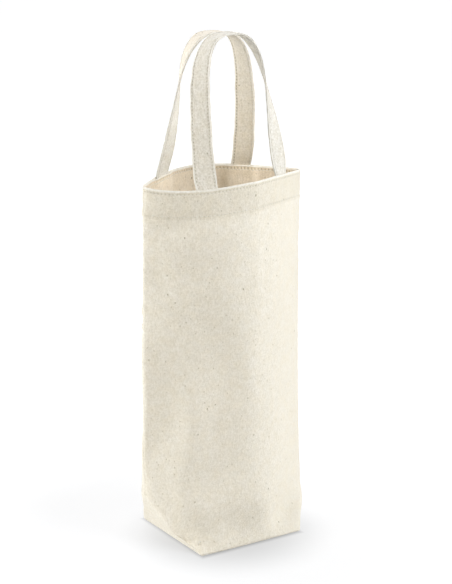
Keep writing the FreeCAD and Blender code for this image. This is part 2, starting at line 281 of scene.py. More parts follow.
def along(points, pitch, length, lead=0.0):
    """Start and end points of stitches of one length set out along a line."""
    P = np.asarray(points, float)
    acc = np.concatenate([[0.0], np.cumsum(np.linalg.norm(np.diff(P, axis=0), axis=1))])
    a = np.arange(lead, acc[-1] - length, pitch)
    at = lambda u: np.stack([np.interp(u, acc, P[:, k]) for k in range(P.shape[1])], 1)
    return at(a), at(a + length), a + length / 2, acc


# ---------------------------------------------------------------------- the skin
# One skin holds both panels, the boxed corners and the base, so that folds run
# across the seams; it is then cut into the two panels and given its thickness.
NS, NL = 132, 26
_t = np.linspace(-1, 1, NS + 1)
S_COL = _t + 0.5 * np.sin(math.pi * _t) / math.pi
S_COL[0], S_COL[-1] = -1.0, 1.0
Z_UP = np.concatenate([np.linspace(APEX, 309.0, 119)[1:], np.linspace(309.0, 337.0, 24)[1:], np.linspace(337.0, RIM, 7)[1:]])
Z_ROW = np.concatenate([np.linspace(0, APEX, NL + 1), Z_UP])


def wall_grid(side):
    s = S_COL[None, :]
    z = Z_ROW[:, None]
    sg = -1.0 if side == "front" else 1.0
    low, top = on_plan("low", side, S_COL), on_plan("top", side, S_COL)
    foot = np.stack([BASE * S_COL, np.full_like(S_COL, sg * BASE)], -1)
    slope1 = (low - foot) / APEX
    slope2 = (top - low) / (RIM - APEX)
    h = 0.02 + 46.0 * (1 - np.abs(s) ** 3)
    h = np.minimum(h, APEX * 0.98)
    x = z - APEX
    ramp = np.where(x > h, x, np.where(x < -h, 0.0, (x + h) ** 2 / (4 * h)))
    ramp[:, 0] = ramp[:, -1] = np.maximum(x[:, 0], 0.0)
    xy = foot[None] + slope1[None] * z[..., None] + (slope2 - slope1)[None] * ramp[..., None]
    g = np.clip((z - APEX) / (RIM - APEX), 0, 1)
    zz = z + g ** 1.5 * rim_wave(side, S_COL)[None]
    P = np.concatenate([xy, zz[..., None]], -1)
    p = S_COL[None] * (BASE + (HALF_ARC[side] - BASE) * np.clip(z / APEX, 0, 1))
    q_low = APEX + 8.0 * S_COL ** 2
    q = np.where(z <= APEX, z / APEX * q_low[None], q_low[None] + (z - APEX) * (RIM - q_low[None]) / (RIM - APEX))
    uv = np.stack([np.broadcast_to(p, q.shape), q], -1)
    return P, uv


def build_skin():
    verts, faces, uvs, owner, key = [], [], [], [], {}
    info = []          # side, s, row height, kind

    def vid(p, tag):
        k = tuple(np.round(p + 0.00137, 2) + 0.0)
        if k not in key:
            key[k] = len(verts)
            verts.append(np.array(p, float))
            info.append(tag)
        return key[k]

    grid = {}
    for side in SIDES:
        P, uv = wall_grid(side)
        R, C = P.shape[:2]
        ids = np.empty((R, C), int)
        for r in range(R):
            for c in range(C):
                ids[r, c] = vid(P[r, c], (side, S_COL[c], Z_ROW[r], 0, 0.0))
        grid[side] = ids
        for r in range(R - 1):
            for c in range(C - 1):
                quad = [(r, c), (r, c + 1), (r + 1, c + 1), (r + 1, c)]
                if side == "back":
                    quad = quad[::-1]
                faces.append([ids[a] for a in quad])
                uvs.append([uv[a] for a in quad])
                owner.append(side)
        sg = -1.0 if side == "front" else 1.0
        # boxed corners: a triangle of the same panel on each side
        for sx in (-1.0, 1.0):
            shift = SEAM_SHIFT if sx < 0 else 0.0
            F = np.array([sx * BASE, sg * BASE, 0.0])
            M = np.array([sx * BASE, shift, 0.0])
            A = P[NL, 0 if sx < 0 else C - 1]
            tri = {}
            for k in range(NL + 1):
                for j in range(NL + 1 - k):
                    pt = P[k, 0 if sx < 0 else C - 1] + (M - F) * j / NL if j == 0 else F + (A - F) * k / NL + (M - F) * j / NL
                    tri[(k, j)] = vid(pt, (side, sx, APEX * k / NL, 1, j / max(NL - k, 1)))
            flat = lambda k, j: (sx * (BASE + BASE * (k + j) / NL), 60.0 * k / NL)
            for k in range(NL):
                for j in range(NL - k):
                    todo = [[(k, j), (k, j + 1), (k + 1, j)]]
                    if j < NL - k - 1:
                        todo.append([(k, j + 1), (k + 1, j + 1), (k + 1, j)])
                    for t in todo:
                        if sx * sg > 0:
                            t = t[::-1]
                        faces.append([tri[a] for a in t])
                        uvs.append([flat(*a) for a in t])
                        owner.append(side)
        # half of the base
        ml, mr = SEAM_SHIFT, 0.0
        base = np.empty((NL + 1, C), int)
        for j in range(NL + 1):
            for c in range(C):
                x = BASE * S_COL[c]
                mid = ml + (mr - ml) * (S_COL[c] + 1) / 2
                y = sg * BASE + (mid - sg * BASE) * j / NL
                base[j, c] = vid(np.array([x, y, 0.0]), (side, S_COL[c], 0.0, 2, 0.0))
        for j in range(NL):
            for c in range(C - 1):
                quad = [(j, c), (j + 1, c), (j + 1, c + 1), (j, c + 1)]
                if side == "back":
                    quad = quad[::-1]
                faces.append([base[a] for a in quad])
                uvs.append([(BASE * S_COL[c], -BASE * j / NL) for j, c in quad])
                owner.append(side)
        grid[side + "_base"] = base
    return np.array(verts), faces, uvs, owner, grid, info


P0, FACES, UVS, OWNER, GRID, INFO = build_skin()
V_S = np.array([i[1] for i in INFO])
V_Z = np.array([i[2] for i in INFO])
V_KIND = np.array([i[3] for i in INFO])
V_FRONT = np.array([i[0] == "front" for i in INFO])
V_IN = np.array([i[4] for i in INFO])
IS_RIM = np.zeros(len(P0), bool)
for side in SIDES:
    IS_RIM[GRID[side][-1]] = True
IS_SEAM = np.zeros(len(P0), bool)
IS_SEAM[GRID["front"][:, 0][NL:]] = True
IS_SEAM[GRID["front"][:, -1][NL:]] = True

_e = set()
for f in FACES:
    for a, b in zip(f, f[1:] + f[:1]):
        _e.add((min(a, b), max(a, b)))
EDGES = np.array(sorted(_e))
DEG = np.bincount(EDGES.ravel(), minlength=len(P0)).astype(float)


def relax(P, weight, times):
    P = P.copy()
    for _ in range(times):
        acc = np.stack([np.bincount(EDGES[:, 0], P[EDGES[:, 1], k], len(P)) + np.bincount(EDGES[:, 1], P[EDGES[:, 0], k], len(P)) for k in range(3)], 1)
        P += weight[:, None] * (acc / DEG[:, None] - P)
    return P


TRI = np.array([[f[0], f[i], f[i + 1]] for f in FACES for i in range(1, len(f) - 1)])


def normals(P):
    n = np.cross(P[TRI[:, 1]] - P[TRI[:, 0]], P[TRI[:, 2]] - P[TRI[:, 0]])
    out = np.zeros_like(P)
    for k in range(3):
        for c in range(3):
            out[:, k] += np.bincount(TRI[:, c], n[:, k], len(P))
    return unit(out)


# the panels bulge over the boxed corners, so each crease bows towards the side seam's foot
for front, sx, reach in ((True, -1.0, 20.0), (True, 1.0, -3.0), (False, -1.0, -1.0), (False, 1.0, -1.0)):
    shift = SEAM_SHIFT if sx < 0 else 0.0
    apex = P0[GRID["front"][NL, 0 if sx < 0 else NS]]
    toe = np.array([sx * BASE, -BASE if front else BASE, 0.0])
    foot = np.array([sx * BASE, shift, 0.0])
    f = np.clip(1 - V_Z / APEX, 0, 1)
    swell = f ** 2.2 * (1 - f) ** 1.7
    swell = swell / (0.564 ** 2.2 * 0.436 ** 1.7)
    crease = apex + (toe - apex) * f[:, None]
    pull = unit(foot - crease) * (reach * swell)[:, None]
    near = np.where(V_KIND == 0, step(0.55, 1.0, V_S * sx) ** 1.5, np.where(V_KIND == 1, 1 - V_IN, 0.0))
    near = near * (V_FRONT == front) * (V_S * sx > 0)
    P0 = P0 + pull * near[:, None]

# soft creases: the folds at the boxed corners and the base edge are rounded cloth
soft = np.full(len(P0), 0.45)
soft[IS_RIM] = 0.0
soft[V_Z > RIM - 8] = 0.0
SKIN = relax(P0, soft, 5)
# the cloth is smooth where the left crease runs out at the front corner
TOE = np.linalg.norm(P0 - np.array([-BASE, -BASE, 0.0]), axis=1)
SKIN = relax(SKIN, 0.5 * np.exp(-(TOE / 22.0) ** 2) * step(0.0, 3.0, V_Z), 12)
# the left boxed corner sits a little low, the right one stands out, and the left
# seam is drawn outwards between the corner and the mouth
FAR = np.where(V_KIND == 0, (1 - np.abs(V_S)) * np.where(V_FRONT, HALF_ARC["front"], HALF_ARC["back"]), 0.0)
LEFT, RIGHT = (V_S < 0) & (V_KIND < 2), (V_S > 0) & (V_KIND < 2)
SKIN[:, 2] -= LEFT * 6.0 * np.exp(-(FAR / 30.0) ** 2) * step(0, APEX, V_Z) * (1 - step(APEX + 8, 150, V_Z))
SIDEWAYS = np.array([0.84, -0.54, 0.0])
out = LEFT * -2.0 * np.exp(-(FAR / 15.0) ** 2) * step(60, 95, V_Z) * (1 - step(RIM - 32, RIM - 6, V_Z))
out = out + RIGHT * 1.8 * np.exp(-(FAR / 20.0) ** 2) * np.exp(-((V_Z - APEX) / 17.0) ** 2)
SKIN = SKIN + SIDEWAYS * out[:, None]
N0 = normals(SKIN)


# ------------------------------------------------------------ folds in the cloth
def fold(p, z, a, b, width, height, skew=0.0):
    """Ridge (or valley) along the line from a to b in panel coordinates."""
    a, b = np.array(a, float), np.array(b, float)
    d = b - a
    L = np.linalg.norm(d)
    d = d / L
    rx, rz = p - a[0], z - a[1]
    t = (rx * d[0] + rz * d[1]) / L
    off = rx * -d[1] + rz * d[0]
    w = np.where(off > 0, width * (1 + skew), width * (1 - skew))
    end = step(-0.25, 0.25, t) * (1 - step(0.75, 1.25, t))
    return height * np.exp(-(off / w) ** 2) * end


# folds of the front panel, in mm across and up the panel: from, to, half width, height
FRONT_FOLDS = [
    ((-97, 84), (-94, 175), 15, -4.9), ((-72, 104), (-98, 217), 16, -6.0), ((-25, 126), (-46, 231), 18, -4.0),
    ((-68, 8), (-95, 64), 23, -2.2), ((-49, 143), (-94, 278), 12, -2.5), ((28, 9), (-14, 83), 13, 1.6),
    ((-37, 201), (-26, 309), 34, 5.7), ((-40, 68), (-129, 233), 19, 4.7), ((-17, 104), (-8, 203), 16, 4.2),
    ((-103, 213), (-89, 274), 19, -5.2), ((44, 1), (75, 44), 24, -3.6), ((-56, 207), (-64, 281), 15, -4.0),
    ((-92, 305), (-38, 340), 13, -5.5), ((-100, 40), (33, 45), 21, 5.8), ((-25, 12), (-76, 154), 22, -3.6),
    ((12, 45), (18, 289), 17, 1.6), ((-116, 112), (-79, 272), 27, 6.0), ((-70, 46), (-56, 158), 13, 5.0),
    ((-63, 132), (20, 139), 13, 1.1), ((91, -39), (71, 180), 17, 1.6), ((115, 9), (56, 55), 14, 3.1),
    ((72, 56), (71, 108), 11, 1.1), ((74, 168), (74, 236), 11, 1.4), ((-32, 197), (70, 188), 31, -2.3),
    ((74, 242), (81, 290), 13, 2.0), ((87, 309), (64, 301), 20, 0.7), ((7, 96), (63, 134), 19, -1.6),
    ((103, 260), (79, 290), 14, -1.4), ((36, 219), (64, 269), 24, -1.5), ((36, 277), (69, 294), 15, -0.9),
    ((-45, 260), (35, 314), 14, -1.5),
]
ARC = np.where(V_FRONT, HALF_ARC["front"], HALF_ARC["back"])
PP, ZZ = V_S * ARC, V_Z
D = np.zeros(len(P0))
wall = (V_KIND == 0)
free = step(0, 40, ZZ) * (1 - 0.8 * step(RIM - 40, RIM, ZZ)) * (1 - 0.7 * step(0.86, 1.0, np.abs(V_S)))
D += wall * ~V_FRONT * free * (1.1 * ripple(SKIN, 120.0, 3) + 0.45 * ripple(SKIN, 46.0, 5))
slack = wall * V_FRONT * step(0, 22, ZZ) * (1 - step(300, 326, ZZ)) * (1 - 0.8 * step(0.93, 1.0, np.abs(V_S)))
D += slack * sum(fold(PP, ZZ, a, b, width, height) for a, b, width, height in FRONT_FOLDS)
D += 0.10 * ripple(SKIN, 15.0, 8) * (V_Z > 0) * (1 - step(RIM - 12, RIM - 4, ZZ))
# the back panel is pulled in behind the left seam
D -= wall * ~V_FRONT * (V_S < 0) * 3.0 * (1 - np.exp(-FAR / 5.0)) * np.exp(-(FAR / 28.0) ** 2) * step(APEX - 6, APEX + 20, ZZ) * (1 - step(RIM - 45, RIM - 20, ZZ))
# side seams: a groove with small puckers beside it
dist = (1 - np.abs(V_S)) * ARC
on_wall = wall & (ZZ >= APEX)
D += on_wall * (-0.75 * np.exp(-(dist / 1.5) ** 2))
D += on_wall * 0.35 * np.sin(ZZ * 2 * math.pi / 11.0 + 1.7 * np.sin(ZZ / 23.0) + 3 * V_FRONT) * np.exp(-dist / 7.0) * step(0.5, 4.0, dist)
# the left seam is drawn in below the mouth and again halfway up
drawn = np.exp(-((ZZ - 300) / 13.0) ** 2) + np.exp(-((ZZ - 228) / 32.0) ** 2)
D += on_wall * (V_S < 0) * drawn * 0.9 * np.sin(ZZ * 2 * math.pi / 17.0 + 2.1 * np.sin(ZZ / 19.0) + dist / 6.0) * np.exp(-dist / 10.0) * step(0.5, 5.0, dist)
# hem at the mouth: the double layer stands slightly proud, with sunken stitch lines
hem = step(RIM - FACING - 1.2, RIM - FACING + 1.0, ZZ)
D += on_wall * 0.30 * hem
D += on_wall * -0.28 * np.exp(-((ZZ - (RIM - FACING + 2.2)) / 0.9) ** 2)
D += on_wall * -0.25 * np.exp(-((ZZ - (RIM - 3.0)) / 0.8) ** 2)
D[V_KIND == 2] = 0.0
SKIN = SKIN + N0 * D[:, None]
SKIN[:, 2] = np.maximum(SKIN[:, 2], 0.0)
NRM = normals(SKIN)


def surf(side, s, below):
    """Point, normal and rim direction of the wall at arc s, a distance below the rim."""
    ids = GRID[side]
    row = float(np.interp(RIM - below, Z_ROW, np.arange(len(Z_ROW))))
    r0 = min(int(row), len(Z_ROW) - 2)
    f = row - r0

    def pick(A, sv):
        lo = np.array([np.interp(sv, S_COL, A[ids[r0]][:, k]) for k in range(3)])
        hi = np.array([np.interp(sv, S_COL, A[ids[r0 + 1]][:, k]) for k in range(3)])
        return lo * (1 - f) + hi * f

    d = 2.0 / HALF_ARC[side]
    return pick(SKIN, s), unit(pick(NRM, s)), unit(pick(SKIN, s + d) - pick(SKIN, s - d))


def leg_s(side, which):
    return (-1.0 if which == "left" else 1.0) * LEG / HALF_ARC[side]


# -------------------------------------------------- the strap's outline across it
ROW = 7.7              # stitch rows, from the strap's middle
STRAP_V = 1.6          # pressed thickness of the folded strap
PITCH = 3.1


def strap_profile():
    """Closed outline across the strap: one folded edge, one edge of two folds."""
    half = np.array([0, 1.8, 3.4, 5.0, ROW - 1.3, ROW - 0.6, ROW - 0.25, ROW, ROW + 0.25, ROW + 0.6, 8.95])
    face = np.concatenate([-half[:0:-1], half])
    H = STRAP_V / 2
    f = STRAP_V / 2.2
    top = [(x, H, 1.0) for x in face]
    open_edge = [(9.35, 1.06, 0), (9.72, 0.88, 0), (9.88, 0.55, 0), (9.72, 0.2, 0), (9.15, 0.0, 0), (9.72, -0.2, 0), (9.88, -0.55, 0), (9.72, -0.88, 0), (9.35, -1.06, 0)]
    open_edge = [(x, y * f, m) for x, y, m in open_edge]
    low = [(x, -H, -1.0) for x in face[::-1]]
    fold_edge = [(-8.95 - 1.05 * math.sin(t), -H * math.cos(t), 0) for t in np.radians([28, 56, 90, 124, 152])]
    return np.array(top + open_edge + low + fold_edge)


# --------------------------------------------------------------------- materials
class Nodes:
    def __init__(self, name):
        self.mat = bpy.data.materials.new(name)
        self.mat.use_nodes = True
        self.t = self.mat.node_tree
        self.t.nodes.clear()

    def new(self, kind, **props):
        n = self.t.nodes.new(kind)
        for k, v in props.items():
            setattr(n, k, v)
        return n

    def put(self, socket, value):
        if isinstance(value, bpy.types.NodeSocket):
            self.t.links.new(value, socket)
        else:
            socket.default_value = value

    def math(self, op, a, b=None, c=None, clamp=False):
        n = self.new("ShaderNodeMath", operation=op, use_clamp=clamp)
        for i, v in enumerate((a, b, c)):
            if v is not None:
                self.put(n.inputs[i], v)
        return n.outputs[0]

    def vec(self, x, y, z=0.0):
        n = self.new("ShaderNodeCombineXYZ")
        for i, v in enumerate((x, y, z)):
            self.put(n.inputs[i], v)
        return n.outputs[0]

    def noise(self, vector, scale=1.0, detail=2.0, rough=0.5):
        n = self.new("ShaderNodeTexNoise", noise_dimensions="3D")
        self.put(n.inputs["Vector"], vector)
        n.inputs["Scale"].default_value = scale
        n.inputs["Detail"].default_value = detail
        n.inputs["Roughness"].default_value = rough
        return n.outputs["Fac"]

    def ramp(self, value, lo, hi, a=0.0, b=1.0):
        n = self.new("ShaderNodeMapRange", interpolation_type="SMOOTHSTEP")
        self.put(n.inputs["Value"], value)
        for k, v in (("From Min", lo), ("From Max", hi), ("To Min", a), ("To Max", b)):
            n.inputs[k].default_value = v
        return n.outputs["Result"]

    def mix(self, fac, a, b):
        n = self.new("ShaderNodeMix", data_type="RGBA")
        self.put(n.inputs[0], fac)
        self.put(n.inputs[6], a)
        self.put(n.inputs[7], b)
        return n.outputs[2]


def lin(r, g, b):
    f = lambda c: (c / 12.92 if c <= 0.04045 else ((c + 0.055) / 1.055) ** 2.4)
    return (f(r / 255), f(g / 255), f(b / 255), 1.0)


def canvas(name, rgb, warp=0.62, weft=0.76, fleck=1.0, swap=False, hem=False, rows=(), grain_size=1.0, vary=1.0, edges=(), tints=None, calm=None):
    """Undyed cotton canvas: plain weave, uneven yarn, seed flecks. UV is the flat cloth in metres.

    rows holds (position, pitch, phase, depth, fade, line) of the stitch lines that pierce the cloth;
    depth is the painted shade in their needle holes, and line scales it along the sunken stitch line;
    fade is (from, to, share at from, share at to) along the line. edges holds (middle, half width)
    of the folded edges, which are painted paler as a highlight; tints is (from, to, rgb, rgb) along the cloth,
    a painted change of light along it; calm is (from, to, share) across it, where the yarn gets smoother.
    """
    k = Nodes(name)
    uv = k.new("ShaderNodeUVMap", uv_map="UVMap").outputs[0]
    sep = k.new("ShaderNodeSeparateXYZ")
    k.put(sep.inputs[0], uv)
    u, v = sep.outputs[0], sep.outputs[1]
    if swap:
        u, v = v, u
    um, vm = k.math("MULTIPLY", u, 1000.0), k.math("MULTIPLY", v, 1000.0)
    pos = k.vec(um, vm)
    tall = k.vec(k.math("MULTIPLY", um, 1.22 / grain_size), k.math("MULTIPLY", vm, 0.82 / grain_size), 4.0)
    wander = k.noise(pos, 0.07, 2.0)
    wander2 = k.noise(k.vec(vm, um, 7.0), 0.07, 2.0)
    U = k.math("ADD", k.math("DIVIDE", um, warp), k.math("MULTIPLY", wander, 2.2))
    W = k.math("ADD", k.math("DIVIDE", vm, weft), k.math("MULTIPLY", wander2, 2.2))
    su = k.math("SINE", k.math("MULTIPLY", U, math.pi))
    sv = k.math("SINE", k.math("MULTIPLY", W, math.pi))
    weave = k.math("MULTIPLY_ADD", k.math("MULTIPLY", su, sv), 0.5, 0.5)
    ridges = k.math("ADD", k.math("ABSOLUTE", su), k.math("ABSOLUTE", sv))
    slub_a = k.noise(k.vec(k.math("DIVIDE", um, warp * 1.5), k.math("DIVIDE", vm, 6.5), 3.0), 1.0, 2.0, 0.6)
    slub_b = k.noise(k.vec(k.math("DIVIDE", um, 5.5), k.math("DIVIDE", vm, weft * 1.5), 9.0), 1.0, 2.0, 0.6)
    cloud = k.noise(pos, 0.035, 3.0)
    grain = k.noise(tall, 0.62, 3.0, 0.7)
    # value of the yarn: slubs both ways, the weave's own shade, soft clouds
    val = k.math("MULTIPLY_ADD", k.math("SUBTRACT", slub_a, 0.5), GRAIN["slub"] * vary, 1.0)
    val = k.math("MULTIPLY_ADD", k.math("SUBTRACT", slub_b, 0.5), GRAIN["slub"] * 0.7 * vary, val)
    val = k.math("MULTIPLY_ADD", k.math("SUBTRACT", weave, 0.5), 0.07, val)
    val = k.math("MULTIPLY_ADD", k.math("SUBTRACT", grain, 0.5), GRAIN["grain"] * vary, val)
    if calm:
        even = k.ramp(um, calm[0], calm[1], 1.0, calm[2])
        val = k.math("MULTIPLY_ADD", k.math("SUBTRACT", val, 1.0), even, 1.0)
    val = k.math("MULTIPLY_ADD", k.math("SUBTRACT", cloud, 0.5), 0.06, val)
    # painted shade: the hem's double layer is darkened by HEM_SHADE, as less light comes through it
    if hem:
        val = k.math("MULTIPLY_ADD", k.ramp(vm, RIM - FACING - 0.8, RIM - FACING + 0.8), -HEM_SHADE, val)
    # needle holes: painted shade in each hole and along the sunken stitch line
    pit = None
    for where, pitch, phase, depth, fade, line in rows:
        off = k.math("SUBTRACT", vm if hem else um, where)
        run = um if hem else vm
        cell = k.math("SUBTRACT", k.math("FRACT", k.math("ADD", k.math("DIVIDE", run, pitch), 0.5 - phase)), 0.5)
        dx = k.math("MULTIPLY", cell, pitch)
        r2 = k.math("ADD", k.math("MULTIPLY", off, off), k.math("MULTIPLY", dx, dx))
        dot = k.ramp(r2, 0.06, 0.75, 1.0, 0.0)
        if fade:
            depth = k.ramp(run, fade[0], fade[1], depth * fade[2], depth * fade[3])
        val = k.math("MULTIPLY", val, k.math("SUBTRACT", 1.0, k.math("MULTIPLY", dot, depth)))
        groove = k.ramp(k.math("ABSOLUTE", off), 0.2, 0.9, 1.0, 0.0)
        val = k.math("MULTIPLY", val, k.math("SUBTRACT", 1.0, k.math("MULTIPLY", k.math("MULTIPLY", groove, depth), line)))
        pit = dot if pit is None else k.math("MAXIMUM", pit, dot)
    # seed flecks: a few dark ones, many faint ones, each a short uneven mark
    jig = k.noise(pos, 0.8, 2.0)
    bent = k.vec(k.math("MULTIPLY_ADD", jig, 1.2, um), k.math("MULTIPLY_ADD", jig, -1.0, k.math("MULTIPLY", vm, 0.8)))
    speck = None
    for cell, size, low, strength in ((7.5, 1.05, 0.38, 0.50), (4.4, 0.90, 0.35, 0.30), (28.0, 1.30, 0.25, 0.60)):
        vor = k.new("ShaderNodeTexVoronoi", voronoi_dimensions="3D", feature="F1")
        moved = k.new("ShaderNodeVectorMath", operation="ADD")
        k.put(moved.inputs[0], bent)
        moved.inputs[1].default_value = (cell * 3.1, cell * 1.7, cell * 0.5)
        k.put(vor.inputs["Vector"], moved.outputs[0])
        vor.inputs["Scale"].default_value = 1.0 / cell
        spot = k.ramp(k.math("MULTIPLY", vor.outputs["Distance"], cell), size * 0.30, size, 1.0, 0.0)
        rnd = k.new("ShaderNodeSeparateColor")
        k.put(rnd.inputs[0], vor.outputs["Color"])
        pick = k.ramp(rnd.outputs[0], low, 1.0)
        fac = k.math("MULTIPLY", k.math("MULTIPLY", spot, pick), strength * fleck)
        speck = fac if speck is None else k.math("MAXIMUM", speck, fac)
    if calm:
        speck = k.math("MULTIPLY", speck, k.math("MULTIPLY_ADD", even, 0.6, 0.4))
    val = k.math("MULTIPLY", val, k.math("SUBTRACT", 1.0, speck))
    tint = k.new("ShaderNodeMix", data_type="RGBA", blend_type="MULTIPLY")
    tint.inputs[0].default_value = 1.0
    warm = k.mix(k.ramp(k.noise(pos, 0.11, 3.0), 0.3, 0.75), (rgb[0] * 1.005, rgb[1] * 1.01, rgb[2] * 1.02, 1), (rgb[0], rgb[1] * 0.99, rgb[2] * 0.965, 1))
    k.put(tint.inputs[6], warm)
    grey = k.new("ShaderNodeCombineColor")
    for i, power in enumerate((0.91, 1.0, 1.28)):
        k.put(grey.inputs[i], k.math("POWER", val, power))
    k.put(tint.inputs[7], grey.outputs[0])
    colour = tint.outputs[2]
    # painted light: one stretch of the strap is tinted paler and cooler, standing in for the light it gets
    if tints:
        shade = k.new("ShaderNodeMix", data_type="RGBA", blend_type="MULTIPLY")
        shade.inputs[0].default_value = 1.0
        k.put(shade.inputs[6], colour)
        k.put(shade.inputs[7], k.mix(k.ramp(vm, tints[0], tints[1]), tints[2] + (1,), tints[3] + (1,)))
        colour = shade.outputs[2]
    # painted highlight: the rim's top and the strap's folded edges are painted paler
    painted_edge_highlight = k.ramp(vm, RIM - 1.6, RIM - 0.8, 0.0, 0.75) if hem else None
    for middle, half in edges:
        near = k.ramp(k.math("ABSOLUTE", k.math("SUBTRACT", um, middle)), half - 0.3, half + 0.4, 0.65, 0.0)
        painted_edge_highlight = near if painted_edge_highlight is None else k.math("MAXIMUM", painted_edge_highlight, near)
    if painted_edge_highlight is not None:
        painted_edge_highlight = k.math("MULTIPLY", painted_edge_highlight, k.ramp(k.noise(pos, 0.35, 2.0), 0.3, 0.65, 0.55, 1.0))
        colour = k.mix(painted_edge_highlight, colour, (0.93, 0.90, 0.82, 1))
    bump = k.new("ShaderNodeBump")
    bump.inputs["Strength"].default_value = GRAIN["bump"]
    bump.inputs["Distance"].default_value = 0.0004
    hgt = k.math("MULTIPLY_ADD", ridges, 0.16, k.math("MULTIPLY", weave, 0.32))
    hgt = k.math("ADD", hgt, k.math("MULTIPLY", k.math("ADD", slub_a, slub_b), 0.5))
    hgt = k.math("MULTIPLY_ADD", grain, 1.5, hgt)
    if calm:
        hgt = k.math("MULTIPLY", hgt, even)
    if pit is not None:
        hgt = k.math("MULTIPLY_ADD", pit, -0.8, hgt)
    k.put(bump.inputs["Height"], hgt)
    b = k.new("ShaderNodeBsdfPrincipled")
    k.put(b.inputs["Base Color"], colour)
    k.put(b.inputs["Normal"], bump.outputs[0])
    k.put(b.inputs["Roughness"], k.ramp(grain, 0.2, 0.8, 0.84, 0.95))
    b.inputs["Specular IOR Level"].default_value = 0.22
    b.inputs["Sheen Weight"].default_value = 0.08
    b.inputs["Sheen Roughness"].default_value = 0.55
    out = k.new("ShaderNodeOutputMaterial")
    k.put(out.inputs["Surface"], b.outputs[0])
    return k.mat


def cotton_thread(name, rgb):
    """Plied sewing thread: slanted plies, fuzz and slight shade changes along it."""
    k = Nodes(name)
    uv = k.new("ShaderNodeUVMap", uv_map="UVMap").outputs[0]
    sep = k.new("ShaderNodeSeparateXYZ")
    k.put(sep.inputs[0], uv)
    ply = k.math("SINE", k.math("ADD", k.math("MULTIPLY", sep.outputs[0], 2 * math.pi / 0.0009), k.math("MULTIPLY", sep.outputs[1], 2 * math.pi / 0.001)))
    geo = k.new("ShaderNodeNewGeometry")
    shade = k.noise(geo.outputs["Position"], 180.0, 2.0)
    fuzz = k.noise(geo.outputs["Position"], 2600.0, 2.0)
    val = k.math("MULTIPLY_ADD", ply, 0.06, 0.97)
    val = k.math("MULTIPLY_ADD", k.math("SUBTRACT", shade, 0.5), 0.14, val)
    val = k.math("MULTIPLY_ADD", k.math("SUBTRACT", fuzz, 0.5), 0.12, val)
    grey = k.new("ShaderNodeCombineColor")
    for i in range(3):
        k.put(grey.inputs[i], val)
    tint = k.new("ShaderNodeMix", data_type="RGBA", blend_type="MULTIPLY")
    tint.inputs[0].default_value = 1.0
    tint.inputs[6].default_value = rgb
    k.put(tint.inputs[7], grey.outputs[0])
    bump = k.new("ShaderNodeBump")
    bump.inputs["Strength"].default_value = 0.6
    bump.inputs["Distance"].default_value = 0.0001
    k.put(bump.inputs["Height"], k.math("MULTIPLY_ADD", fuzz, 0.5, ply))
    b = k.new("ShaderNodeBsdfPrincipled")
    k.put(b.inputs["Base Color"], tint.outputs[2])
    k.put(b.inputs["Normal"], bump.outputs[0])
    k.put(b.inputs["Roughness"], k.ramp(fuzz, 0.2, 0.8, 0.55, 0.75))
    b.inputs["Specular IOR Level"].default_value = 0.3
    b.inputs["Sheen Weight"].default_value = 0.1
    out = k.new("ShaderNodeOutputMaterial")
    k.put(out.inputs["Surface"], b.outputs[0])
    return k.mat


GRAIN = dict(slub=0.22, grain=0.56, bump=0.7)
HEM_SHADE = 0.065
STRAP_OUTLINE = strap_profile()
_round = np.concatenate([[0.0], np.cumsum(np.linalg.norm(np.diff(STRAP_OUTLINE[:, :2], axis=0), axis=1))])
_at = [float(_round[i]) for i, q in enumerate(STRAP_OUTLINE) if abs(abs(q[0]) - ROW) < 1e-6]
_edge = [float(_round[i]) for i, q in enumerate(STRAP_OUTLINE) if abs(abs(q[0]) - 8.95) < 1e-6]
_total = float(_round[-1] + np.linalg.norm(STRAP_OUTLINE[-1, :2] - STRAP_OUTLINE[0, :2]))
STRAP_EDGES = [((_edge[1] + _edge[2]) / 2, (_edge[2] - _edge[1]) / 2 + 0.35), ((_edge[3] + _total) / 2, (_total - _edge[3]) / 2 + 0.35), (0.0, 0.35)]
# shares of each stitch line's depth, its painted shade in the needle holes and groove, on the left and the right leg
STRAP_ROWS = {
    "front": [(_at[0], PITCH, 0.0, 0.27, (150, 210, 1.0, 0.35), 0.16), (_at[1], PITCH, 0.0, 0.27, (150, 210, 0.7, 0.35), 0.16),
              (_at[2], PITCH, 0.0, 0.2, None, 0.16), (_at[3], PITCH, 0.0, 0.2, None, 0.16)],
    "back": [(_at[0], PITCH, 0.0, 0.2, None, 0.16), (_at[1], PITCH, 0.0, 0.2, None, 0.16),
             (_at[2], PITCH, 0.0, 0.27, (150, 210, 0.25, 0.3), 0.16), (_at[3], PITCH, 0.0, 0.30, (150, 210, 0.25, 1.0), 0.75)],
}
BODY_RGB = (0.793, 0.738, 0.619)
BODY = canvas("canvas_body", BODY_RGB, hem=True, calm=(18, 62, 0.45), rows=[(RIM - 3.0, 3.4, 0.5, 0.15, None, 0.16), (RIM - FACING + 2.2, 3.9, 0.5, 0.05, None, 0.16)])
# painted light: the facing is the same canvas as the panels, its colour made lighter and more orange to stand in for
# the warm light inside the bag
BAND = canvas("canvas_facing", (0.945, 0.824, 0.65), hem=True, rows=[(RIM - 3.0, 3.4, 0.5, 0.3, (-40, 0, 0.3, 1.0), 0.16), (RIM - FACING + 2.2, 3.9, 0.5, 0.15, None, 0.16)])
